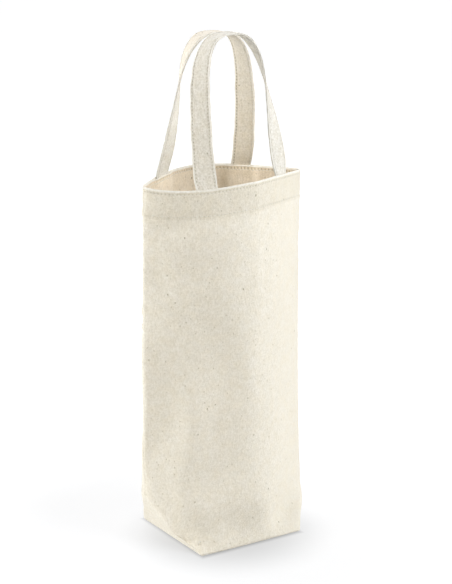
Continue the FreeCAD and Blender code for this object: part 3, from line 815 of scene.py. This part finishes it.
# painted light: both straps are the same canvas, but the back strap's colour is made lighter and warmer and the front
# strap's darker and greyer, standing in for the light on each; tints paint one leg of each paler and cooler
STRAP = {
    "front": canvas("canvas_strap_front", (0.750, 0.702, 0.600), warp=0.58, weft=0.70, swap=True, fleck=0.8, rows=STRAP_ROWS["front"], vary=1.5, edges=STRAP_EDGES, tints=(150, 210, (1.0, 1.0, 1.0), (1.02, 1.035, 1.06))),
    "back": canvas("canvas_strap_back", (0.832, 0.757, 0.624), warp=0.58, weft=0.70, swap=True, fleck=0.8, rows=STRAP_ROWS["back"], vary=1.3, edges=STRAP_EDGES, tints=(95, 130, (1.0, 1.05, 1.12), (1.0, 1.0, 1.0))),
}
THREAD = cotton_thread("thread_sewing", (0.77, 0.73, 0.635, 1.0))
SERGE = cotton_thread("thread_overlock", (0.84, 0.81, 0.74, 1.0))

MADE = {}


def keep(ob, nodes, body="bag"):
    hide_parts(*nodes)
    if body:
        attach(ob, body)
    MADE[ob.name] = ob
    return ob


# ------------------------------------------------------------------------ panels
def ribbon(soup, line, rise, lat, width, offset, lean, cols=5, thick=CLOTH, wave=0.0, seed=1):
    """Seam allowance: a strip standing on a line, leaning sideways as it rises."""
    line, rise, lat = (np.asarray(a, float) for a in (line, rise, lat))
    a = np.linspace(0, width, cols)
    tilt = lean * a ** 1.4 / width ** 0.4
    mid = line[:, None] + rise[:, None] * a[None, :, None] + lat[:, None] * (offset + tilt)[None, :, None]
    if wave:
        mid = mid + lat[:, None] * (wave * ripple(line, 26.0, seed, 8)[:, None] * (a / width)[None])[..., None]
    # thickness across the strip's own surface
    du, dv = np.gradient(mid, axis=0), np.gradient(mid, axis=1)
    n = unit(np.cross(du, dv))
    acc = np.concatenate([[0.0], np.cumsum(np.linalg.norm(np.diff(line, axis=0), axis=1))])
    uv = np.stack(np.broadcast_arrays(a[None, :], acc[:, None]), -1) * 0.001
    A, B = mid + n * thick / 2, mid - n * thick / 2
    v, f, t = slab(B, A, uv)
    vol = 0.0
    vv = np.asarray(v)
    for q in f:
        for i in range(1, len(q) - 1):
            vol += np.dot(vv[q[0]], np.cross(vv[q[i]], vv[q[i + 1]]))
    if vol < 0:
        f = [q[::-1] for q in f]
        t = np.concatenate([t_[::-1] for t_ in np.split(t, np.cumsum([len(q) for q in f])[:-1])])
    soup.add(v, f, t)
    return mid, n


def seam_line(which, z0, z1, stepping=2.2):
    c = 0 if which == "left" else -1
    ids = GRID["front"][:, c]
    rows = np.where((Z_ROW >= APEX))[0]
    z = np.arange(z0, z1, stepping)
    pts = np.stack([np.interp(z, SKIN[ids[rows], 2], SKIN[ids[rows], k]) for k in range(3)], 1)
    other = GRID["front"][:, -1 if which == "left" else 0]
    far = np.stack([np.interp(z, SKIN[other[rows], 2], SKIN[other[rows], k]) for k in range(3)], 1)
    e = far - pts
    e[:, 2] = 0
    e = unit(e)
    lat = np.stack([e[:, 1], -e[:, 0], np.zeros(len(e))], 1)
    if which == "right":
        lat = -lat
    return pts + e * 1.6, e, lat          # lat points towards the front


SEAMS = {}
for which in ("left", "right"):
    SEAMS[which] = seam_line(which, APEX + 4.0, RIM - FACING - 2.0)
_x = np.linspace(-50, 50, 46)
_by = SEAM_SHIFT * (1 - (_x + BASE) / (2 * BASE))
SEAMS["base"] = (np.stack([_x, _by, np.full_like(_x, 1.0)], 1), np.tile([0, 0, 1.0], (46, 1)), np.tile([0, -1.0, 0], (46, 1)))
for which, x in (("left", -52.4), ("right", 52.4)):
    for side, sg in (("front", -1.0), ("back", 1.0)):
        y = np.linspace(1.5 * sg, 45.0 * sg, 20)
        y = y + (SEAM_SHIFT * (1 - np.abs(y) / 55.0) if which == "left" else 0)
        SEAMS["corner_%s_%s" % (which, side)] = (np.stack([np.full_like(y, x), y, np.full_like(y, 1.0)], 1), np.tile([0, 0, 1.0], (20, 1)),
                                                 np.tile([1.0 if which == "left" else -1.0, 0, 0], (20, 1)))

FLANGE = {}


def make_panel(side):
    ids = [i for i, o in enumerate(OWNER) if o == side]
    used = sorted({v for i in ids for v in FACES[i]})
    back = {v: n for n, v in enumerate(used)}
    used = np.array(used)
    n = len(used)
    outer, inner = SKIN[used], SKIN[used] - NRM[used] * CLOTH
    inner[:, 2] = np.maximum(inner[:, 2], 0.0)
    verts = [outer, inner]
    faces, uvs = [], []
    count = {}
    look = {}
    for i in ids:
        f, uv = [back[v] for v in FACES[i]], UVS[i]
        faces.append(f)
        uvs += list(uv)
        faces.append([a + n for a in f][::-1])
        uvs += list(uv)[::-1]
        for a, b, ua, ub in zip(f, f[1:] + f[:1], list(uv), list(uv)[1:] + list(uv)[:1]):
            count[(a, b)] = (ua, ub)
    rim = IS_RIM[used]
    crown = {}
    extra = []
    cut = []           # cut edges of the cloth, shaded as edges
    for (a, b), (ua, ub) in sorted(count.items()):
        if (b, a) in count:
            continue
        if rim[a] and rim[b]:
            for q in (a, b):
                if q not in crown:
                    crown[q] = 2 * n + len(extra)
                    extra.append(0.5 * (outer[q] + inner[q]) + np.array([0, 0, 0.55]))
            faces.append([b, a, crown[a], crown[b]])
            uvs += [ub, ua, ua, ub]
            faces.append([crown[b], crown[a], a + n, b + n])
            uvs += [ub, ua, ua, ub]
        else:
            faces.append([b, a, a + n, b + n])
            uvs += [ub, ua, ua, ub]
            cut += [(a, b), (a + n, b + n)]
    # close the two ends of the crown
    for q, m in crown.items():
        mates = [1 for (a, b) in count if (b, a) not in count and rim[a] and rim[b] and q in (a, b)]
        if len(mates) == 1:
            starts = any(a == q and rim[b] for (a, b) in count if (b, a) not in count)
            tri = [q, q + n, m] if starts else [q, m, q + n]
            faces.append(tri)
            uvs += [(0.0, RIM)] * 3
    soup = Soup()
    soup.add(np.concatenate(verts + [np.array(extra)]), faces, np.asarray(uvs) * 0.001, cut)
    sg = 1.0 if side == "front" else -1.0
    for which in ("left", "right"):
        FLANGE[(which, side)] = ribbon(soup, *SEAMS[which], 9.0, sg * (CLOTH / 2 + 0.03), -0.34, wave=0.5, seed=4)
    FLANGE[("base", side)] = ribbon(soup, *SEAMS["base"], 8.2, sg * (CLOTH / 2 + 0.03), 0.22, wave=0.4, seed=6)
    for which in ("left", "right"):
        for lay in (1.0, -1.0):
            key = "corner_%s_%s" % (which, side)
            FLANGE[(key, lay)] = ribbon(soup, *SEAMS[key], 8.2, lay * (CLOTH / 2 + 0.03), 0.25, wave=0.4, seed=9)
    return soup.piece(side + "_panel_cloth", BODY)


for side in SIDES:
    keep(make_panel(side), [side + "_panel"])


# ----------------------------------------------------------------------- facings
def tail_bump(side, s):
    best = np.zeros_like(s)
    for w in ("left", "right"):
        d = np.abs(s - leg_s(side, w)) * HALF_ARC[side]
        best = np.maximum(best, 1 - step(11.0, 20.0, d))
    return best * (STRAP_T + 2 * GAP)


def facing_depth(side, s, z):
    """Depth of the facing's hidden face below the panel's outer face."""
    d = CLOTH + GAP + tail_bump(side, s) * step(RIM - TAIL - 5, RIM - TAIL + 4, z)
    return d


def make_facing(side):
    rows = np.where(Z_ROW >= RIM - FACING)[0]
    cols = np.where(np.abs(S_COL) <= 0.985)[0]
    ids = GRID[side][np.ix_(rows, cols)]
    z = Z_ROW[rows][:, None]
    s = S_COL[cols][None]
    depth = facing_depth(side, np.broadcast_to(s, ids.shape), np.broadcast_to(z, ids.shape))
    fat = 0.9 + 0.6 * (1 - step(RIM - FACING + 4.5, RIM - FACING + 6.5, z))
    pts, nrm = SKIN[ids], NRM[ids]
    drop = np.zeros(ids.shape + (3,))
    drop[..., 2] = -0.5 * step(RIM - 3, RIM, z)
    hid = pts - nrm * depth[..., None] + drop
    seen = pts - nrm * (depth + fat)[..., None] + drop
    groove = 0.3 * (np.exp(-((z - (RIM - FACING + 2.2)) / 0.9) ** 2) + np.exp(-((z - (RIM - 3.0)) / 0.8) ** 2))
    seen = seen + nrm * (groove * np.ones(ids.shape))[..., None]
    uv = np.stack(np.broadcast_arrays(s * HALF_ARC[side], z), -1) * 0.001
    crown = np.tile([0, 0, 0.3], (len(cols), 1))
    a, b = (hid, seen) if side == "front" else (hid[:, ::-1], seen[:, ::-1])
    v, f, t = slab(a, b, uv if side == "front" else uv[:, ::-1], crown)
    soup = Soup()
    soup.add(v, f, t)
    return soup.piece(side + "_facing_cloth", BAND)


for side in SIDES:
    keep(make_facing(side), [side + "_facing"])


# ------------------------------------------------------------------------ straps
def smooth_line(P, sigma, ends):
    """Rounds a line sampled about every millimetre, holding its two ends."""
    w = int(sigma * 3)
    ker = np.exp(-0.5 * (np.arange(-w, w + 1) / sigma) ** 2)
    ker /= ker.sum()
    Q = np.stack([np.convolve(np.pad(P[:, k], w, mode="reflect", reflect_type="odd"), ker, mode="valid") for k in range(P.shape[1])], 1)
    return Q


def resample(P, stepping):
    acc = np.concatenate([[0.0], np.cumsum(np.linalg.norm(np.diff(P[:, :3], axis=0), axis=1))])
    n = int(round(acc[-1] / stepping))
    u = np.linspace(0, acc[-1], n + 1)
    return np.stack([np.interp(u, acc, P[:, k]) for k in range(P.shape[1])], 1), u


def leg_line(side, which):
    """Points from the sewn-in end to the top of the handle, with the twist angle."""
    ax, ay, az = HANDLES[side]["apex"]
    g = HANDLES[side][which]
    s = leg_s(side, which)
    depth = CLOTH + GAP + STRAP_T / 2
    tail = []
    for below in np.linspace(TAIL, 0.0, 24):
        c, n, _ = surf(side, s, below)
        tail.append(c - n * depth)
    tail = np.array(tail)
    b = tail[-1]
    t = np.concatenate([math.pi / 2 * np.arange(1, 240) / 240.0, np.arcsin((np.arange(1, 60) / 100.0) ** (g["q"] / 2.0))])
    t = np.concatenate([np.sort(t), [math.pi / 2]])
    x = ax + (b[0] - ax) * np.cos(t) ** (2.0 / g["p"])
    x[-1] = ax
    zeta = np.sin(t) ** (2.0 / g["q"])
    bell = np.sin(math.pi * np.clip(zeta, 0, 1))
    leg = np.stack([x + g["bow"][0] * bell, b[1] + (ay - b[1]) * zeta ** g["k"] + g["bow"][1] * bell, b[2] + (az - b[2]) * zeta], 1)
    tan = surf(side, s, 0.0)[2]
    a0 = math.degrees(math.atan2(tan[1], tan[0]))
    if (side == "front") == (which == "right"):
        a0 -= 180.0
    turn = g["turn"] * zeta / TURN_AT * np.exp(1.0 - zeta / TURN_AT)
    ang = np.concatenate([np.full(len(tail), a0), a0 + (-90.0 - a0) * zeta ** g["power"] + turn])
    return np.concatenate([tail, leg]), ang


def strap_frames(side):
    L, la = leg_line(side, "left")
    R, ra = leg_line(side, "right")
    P = np.concatenate([np.column_stack([L, la]), np.column_stack([R, ra])[::-1][1:]])
    P, _ = resample(P, 1.0)
    P = smooth_line(P, 3.0, 3)
    P, u = resample(P, 1.0)
    c = P[:, :3]
    d = unit(np.gradient(c, axis=0))
    a = np.radians(P[:, 3])
    w = np.stack([np.cos(a), np.sin(a), np.zeros_like(a)], 1)
    w = unit(w - d * np.sum(w * d, 1, keepdims=True))
    n = np.cross(w, d)
    return c, w, n, u


def strap_height(x, u):
    """Half thickness of the strap: puffed between the stitch rows, pulled in along them."""
    h = STRAP_V / 2 * (1 + 0.12 * np.clip(1 - (x / 7.0) ** 2, 0, 1))
    pull = 0.62 + 0.38 * np.cos(2 * math.pi * u / PITCH)
    return h - 0.26 * pull * np.exp(-((np.abs(x) - ROW) / 0.62) ** 2)


def make_strap(side):
    c, w, n, u = strap_frames(side)
    prof = strap_profile()
    K = len(prof)
    wob = 0.22 * ripple(np.stack([u, 0 * u], 1), 21.0, 31 if side == "front" else 47, 10)
    x = prof[None, :, 0] * (1 + 0 * u[:, None]) + (wob[:, None] * np.sign(prof[None, :, 0]) * 0.6)
    h = np.where(prof[None, :, 2] != 0, prof[None, :, 2] * strap_height(prof[None, :, 0], u[:, None]), prof[None, :, 1])
    # slight cupping and unevenness along the strap
    cup = 0.25 * ripple(np.stack([u, 0 * u + 3], 1), 38.0, 12 if side == "front" else 19, 8)[:, None] * ((prof[None, :, 0] / 10) ** 2 - 0.4)
    fine = 0.07 * ripple(np.stack([np.broadcast_to(u[:, None], h.shape), np.broadcast_to(prof[None, :, 0] * 2.0, h.shape)], -1), 9.0, 5)
    V = c[:, None] + w[:, None] * x[..., None] + n[:, None] * (h + cup + fine * np.sign(h))[..., None]
    R = len(u)
    verts = V.reshape(-1, 3)
    faces = grid_faces(R, K, wrap_cols=True)
    faces.append(list(range(K))[::-1])
    faces.append([(R - 1) * K + k for k in range(K)])
    # corner coordinates: along the strap, and once round its outline
    per = np.concatenate([[0.0], np.cumsum(np.linalg.norm(np.diff(np.vstack([prof[:, :2], prof[:1, :2]]), axis=0), axis=1))])
    uvs = []
    for f in faces[:-2]:
        lo = f[0] % K
        for v in f:
            k = v % K
            uvs.append((u[v // K] * 0.001, (per[K] if (k == 0 and lo == K - 1) else per[k]) * 0.001))
    for f in faces[-2:]:
        for v in f:
            uvs.append((prof[v % K, 1] * 0.001, prof[v % K, 0] * 0.001))
    ob = new_piece(side + "_handle_strap", verts, faces, uvs, STRAP[side])
    # check the direction of the faces once, from the strap's outer face
    me = ob.data
    me.calc_loop_triangles()
    q = faces[(R // 2) * K + 10]
    fn = np.cross(verts[q[1]] - verts[q[0]], verts[q[2]] - verts[q[0]])
    if fn @ n[R // 2] < 0:
        me.flip_normals()
    soup = Soup()
    for row in (-ROW, ROW):
        for face in (1.0, -1.0):
            hgt = STRAP_V / 2 - 0.16
            line = c + w * row + n * (face * hgt)
            hole = np.arange(1, int(u[-1] / PITCH) - 1) * PITCH
            at = lambda A, q: np.stack([np.interp(q, u, A[:, k]) for k in range(3)], 1)
            stitches(soup, at(line, hole + 0.15 * PITCH), at(line, hole + 0.85 * PITCH), at(n * face, hole + 0.5 * PITCH), radius=0.27, lift=0.14)
    sew = soup.piece(side + "_handle_stitches", THREAD)
    return ob, sew, (c, w, n, u)


STRAPS = {}
for side in SIDES:
    ob, sew, fr = make_strap(side)
    keep(ob, [side + "_handle", side + "_handle_left_tail", side + "_handle_right_tail"], None)
    keep(sew, [side + "_handle_edge_stitching"], None)
    STRAPS[side] = (ob, sew, fr)


# ---------------------------------------------------------- stitch lines at the mouth
def mouth_row(side, z, pitch, name, node):
    """Stitches through the mouth's layers, each between two needle holes of the cloth."""
    soup = Soup()
    ids = GRID[side]
    row = int(np.argmin(np.abs(Z_ROW - z)))
    cols = np.where(np.abs(S_COL) <= 0.975)[0]
    pts, nrm = SKIN[ids[row, cols]], NRM[ids[row, cols]]
    s = S_COL[cols]
    depth = facing_depth(side, s, np.full_like(s, z)) + (1.5 if z < RIM - 15 else 0.9)
    inside = pts - nrm * (depth - 0.25)[:, None]
    if z > RIM - 5:
        inside[:, 2] -= 0.4
    p = s * HALF_ARC[side]
    hole = (np.arange(math.ceil(p[0] / pitch), math.floor(p[-1] / pitch) - 1) + 0.5) * pitch
    at = lambda A, q: np.stack([np.interp(q, p, A[:, k]) for k in range(3)], 1)
    for line, nn in ((pts, nrm), (inside, -nrm)):
        stitches(soup, at(line, hole + 0.15 * pitch), at(line, hole + 0.85 * pitch), at(nn, hole + 0.5 * pitch), radius=0.24, lift=0.16)
    return keep(soup.piece(name, THREAD), [node])


for side in SIDES:
    mouth_row(side, RIM - 3.0, 3.4, "rim_stitches_" + side, "rim_topstitch_" + side)
    mouth_row(side, RIM - FACING + 2.2, 3.9, "facing_stitches_" + side, "facing_stitch_" + side)


# ------------------------------------------------------------------ inside seams
def seam_rows(name, node, keys, height=2.6, pitch=3.2):
    """Lockstitch through the allowances, seen on both faces."""
    soup = Soup()
    for pair in keys:
        mids = [FLANGE[k] for k in pair]
        for (mid, n), other in zip(mids, mids[::-1]):
            out = mid.mean(axis=(0, 1)) - other[0].mean(axis=(0, 1))
            col = 1
            line, nn = mid[:, col], n[:, col]
            sg = 1.0 if np.sum(nn.mean(0) * out) > 0 else -1.0
            face = line + nn * sg * CLOTH / 2
            a, b, m, acc = along(face, pitch, pitch * 0.74, lead=pitch * 0.2)
            norm = np.stack([np.interp(m, acc, (nn * sg)[:, k]) for k in range(3)], 1)
            stitches(soup, a, b, norm, radius=0.25, lift=0.2)
    return keep(soup.piece(name, THREAD), [node])


def overlock(name, node, keys, pitch=2.3, reach=3.6):
    """Thread looped round the raw edges of the two layers, with a chain along the edge."""
    soup = Soup()
    for pair in keys:
        (ma, na), (mb, nb) = FLANGE[pair[0]], FLANGE[pair[1]]
        mid = 0.5 * (ma + mb)
        edge = mid[:, -1]
        up = unit(mid[:, -1] - mid[:, -2])
        nrm = unit(ma[:, -1] - mb[:, -1])
        acc = np.concatenate([[0.0], np.cumsum(np.linalg.norm(np.diff(edge, axis=0), axis=1))])
        at = lambda A, u: np.array([np.interp(u, acc, A[:, k]) for k in range(3)])
        pts = []
        u, i = 0.4, 0
        half = CLOTH + 0.28
        while u < acc[-1] - 0.6:
            e, up_, nn = at(edge, u), at(up, u), at(nrm, u)
            sg = 1.0 if i % 2 == 0 else -1.0
            tdir = at(edge, min(u + 1, acc[-1])) - e
            pts += [e - up_ * reach + nn * sg * half, e - up_ * 0.6 + nn * sg * (half + 0.05) + tdir * 0.3,
                    e + up_ * 0.42 + nn * sg * 0.5 + tdir * 0.5, e + up_ * 0.42 - nn * sg * 0.5 + tdir * 0.7]
            u += pitch / 2
            i += 1
        v, f, t = thread(pts, 0.24, 5)
        soup.add(v, f, t)
        # needle thread down each face and the chain that lies on the edge
        for off, high in ((half + 0.05, -reach), (-(half + 0.05), -reach), (0.0, 0.55)):
            uu = np.arange(0.4, acc[-1] - 0.4, 1.1)
            wig = 0.28 * np.sin(uu * 2 * math.pi / pitch)
            line = np.array([at(edge, x) + at(up, x) * high + at(nrm, x) * (off + (w_ if off == 0 else 0)) for x, w_ in zip(uu, wig)])
            v, f, t = thread(line, 0.22, 5)
            soup.add(v, f, t)
    return keep(soup.piece(name, SERGE), [node])


for which in ("left", "right"):
    pair = [((which, "front"), (which, "back"))]
    seam_rows(which + "_seam_stitches", which + "_side_seam_stitch", pair)
    overlock(which + "_seam_overlock", which + "_side_overlock", pair)
    corner = [(("corner_%s_%s" % (which, s), 1.0), ("corner_%s_%s" % (which, s), -1.0)) for s in SIDES]
    seam_rows(which + "_corner_stitches", which + "_corner_stitch", corner)
    overlock(which + "_corner_serging", which + "_corner_overlock", corner)
seam_rows("base_seam_stitches", "base_seam_stitch", [(("base", "front"), ("base", "back"))])
overlock("base_seam_serging", "base_overlock", [(("base", "front"), ("base", "back"))])


# --------------------------------------------------- straps and their stitches baked to the world frame
for side in SIDES:
    ob, sew, fr = STRAPS[side]
    for piece in (ob, sew):
        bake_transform(piece)


# ------------------------------------------------------------- floor, light, camera
FLOOR_GLOW = 0.74


def stage_floor():
    k = Nodes("floor_paper")
    b = k.new("ShaderNodeBsdfPrincipled")
    geo = k.new("ShaderNodeNewGeometry")
    n = k.noise(geo.outputs["Position"], 30.0, 2.0)
    k.put(b.inputs["Base Color"], k.mix(n, (0.145, 0.145, 0.145, 1), (0.155, 0.155, 0.155, 1)))
    b.inputs["Roughness"].default_value = 0.9
    b.inputs["Specular IOR Level"].default_value = 0.1
    far = k.new("ShaderNodeVectorMath", operation="LENGTH")
    k.put(far.inputs[0], geo.outputs["Position"])
    b.inputs["Emission Color"].default_value = (1, 1, 1, 1)
    # the paper reads white away from the bag, with a painted shadow round the bag's foot that only the camera sees;
    # only its near and far parts throw light on it
    spot = k.new("ShaderNodeVectorMath", operation="DISTANCE")
    k.put(spot.inputs[0], geo.outputs["Position"])
    spot.inputs[1].default_value = (-0.006, -0.018, 0.0)
    white = k.math("SUBTRACT", k.ramp(far.outputs["Value"], 0.15, 0.35, 0.83, 1.0), k.ramp(spot.outputs["Value"], 0.030, 0.110, 0.29, 0.0))
    thrown = k.math("ADD", k.ramp(far.outputs["Value"], 0.40, 0.50, FLOOR_GLOW, 0.36), k.ramp(far.outputs["Value"], 1.1, 1.3, 0.0, 0.52))
    eye = k.new("ShaderNodeLightPath").outputs["Is Camera Ray"]
    glow = k.math("MULTIPLY_ADD", k.math("SUBTRACT", white, thrown), eye, thrown)
    # painted shadow: the floor's glow is dimmed in a thin line along the base's edges
    xyz = k.new("ShaderNodeSeparateXYZ")
    k.put(xyz.inputs[0], geo.outputs["Position"])
    edge = k.math("MAXIMUM", k.math("ABSOLUTE", xyz.outputs[0]), k.math("ABSOLUTE", xyz.outputs[1]))
    near = k.ramp(edge, BASE * 0.001 - 0.003, BASE * 0.001 + 0.004, 0.62, 1.0)
    k.put(b.inputs["Emission Strength"], k.math("MULTIPLY", glow, near))
    out = k.new("ShaderNodeOutputMaterial")
    k.put(out.inputs["Surface"], b.outputs[0])
    r, n = 9.0, 96
    me = bpy.data.meshes.new("floor")
    ring = [(r * math.cos(2 * math.pi * i / n), r * math.sin(2 * math.pi * i / n), -0.0004) for i in range(n)]
    me.from_pydata(ring, [], [list(range(n))])
    ob = bpy.data.objects.new("floor", me)
    bpy.context.scene.collection.objects.link(ob)
    me.materials.append(k.mat)


stage_floor()


def softbox(name, az, el, dist, size, power, rgb=(1, 1, 1), aim=(0, 0, 0.22)):
    a, e = math.radians(az), math.radians(el)
    d = Vector((math.sin(a) * math.cos(e), -math.cos(a) * math.cos(e), math.sin(e)))
    li = bpy.data.lights.new(name, "AREA")
    li.shape = "RECTANGLE"
    li.size, li.size_y = size
    li.energy = power
    li.color = rgb
    ob = bpy.data.objects.new(name, li)
    ob.location = Vector(aim) + d * dist
    ob.rotation_mode = "QUATERNION"
    ob.rotation_quaternion = (-d).to_track_quat("-Z", "Y")
    bpy.context.scene.collection.objects.link(ob)
    return ob


softbox("box_back", 165, 50, 2.2, (1.6, 1.4), 24, (1.01, 1.0, 1.03))
softbox("box_right", 35, 40, 2.2, (1.4, 1.4), 42, (0.955, 0.985, 1.05))
softbox("box_low", 35, 14, 1.8, (1.0, 0.8), 6.6, (1.01, 1.0, 0.96))
softbox("box_side", 95, 22, 2.2, (1.2, 1.6), 4.3, (0.87, 0.99, 1.16))
softbox("box_left", -92, 14, 2.0, (1.0, 1.2), 19.5, (1.05, 1.01, 0.95))
softbox("box_edge", -116, 8, 2.0, (1.2, 1.0), 14.5, (0.90, 1.0, 1.14))
softbox("box_rear", -150, 40, 2.0, (1.2, 1.2), 10, (0.93, 0.99, 1.12))

world = bpy.data.worlds.new("studio")
bpy.context.scene.world = world
world.use_nodes = True
wt = world.node_tree
wt.nodes.clear()
path = wt.nodes.new("ShaderNodeLightPath")
seen = wt.nodes.new("ShaderNodeBackground")
seen.inputs[0].default_value = (1, 1, 1, 1)
seen.inputs[1].default_value = 1.0
fill = wt.nodes.new("ShaderNodeBackground")
fill.inputs[0].default_value = (1.0, 0.985, 0.965, 1)
fill.inputs[1].default_value = 0.02
mixer = wt.nodes.new("ShaderNodeMixShader")
wout = wt.nodes.new("ShaderNodeOutputWorld")
wt.links.new(path.outputs["Is Camera Ray"], mixer.inputs[0])
wt.links.new(fill.outputs[0], mixer.inputs[1])
wt.links.new(seen.outputs[0], mixer.inputs[2])
wt.links.new(mixer.outputs[0], wout.inputs[0])

scene = bpy.context.scene
scene.view_settings.view_transform = "Standard"
scene.view_settings.look = "None"
scene.view_settings.exposure = 0.0

AZ, EL, DIST = math.radians(-32.8), math.radians(14.72), 1.5
bk = Vector((math.sin(AZ) * math.cos(EL), -math.cos(AZ) * math.cos(EL), math.sin(EL)))
rt = Vector((math.cos(AZ), math.sin(AZ), 0.0))
cam = bpy.data.cameras.new("camera")
cam.sensor_fit = "VERTICAL"
cam.sensor_height = 36.0
cam.sensor_width = 36.0
cam.lens = 1615.8 * 36.0 / 584.0
cam.clip_start, cam.clip_end = 0.05, 50.0
cam_ob = bpy.data.objects.new("camera", cam)
cam_ob.location = Vector((0, 0, 0.2323)) + rt * 0.0046 + bk * DIST
cam_ob.rotation_mode = "QUATERNION"
cam_ob.rotation_quaternion = (-bk).to_track_quat("-Z", "Y")
scene.collection.objects.link(cam_ob)
scene.camera = cam_ob
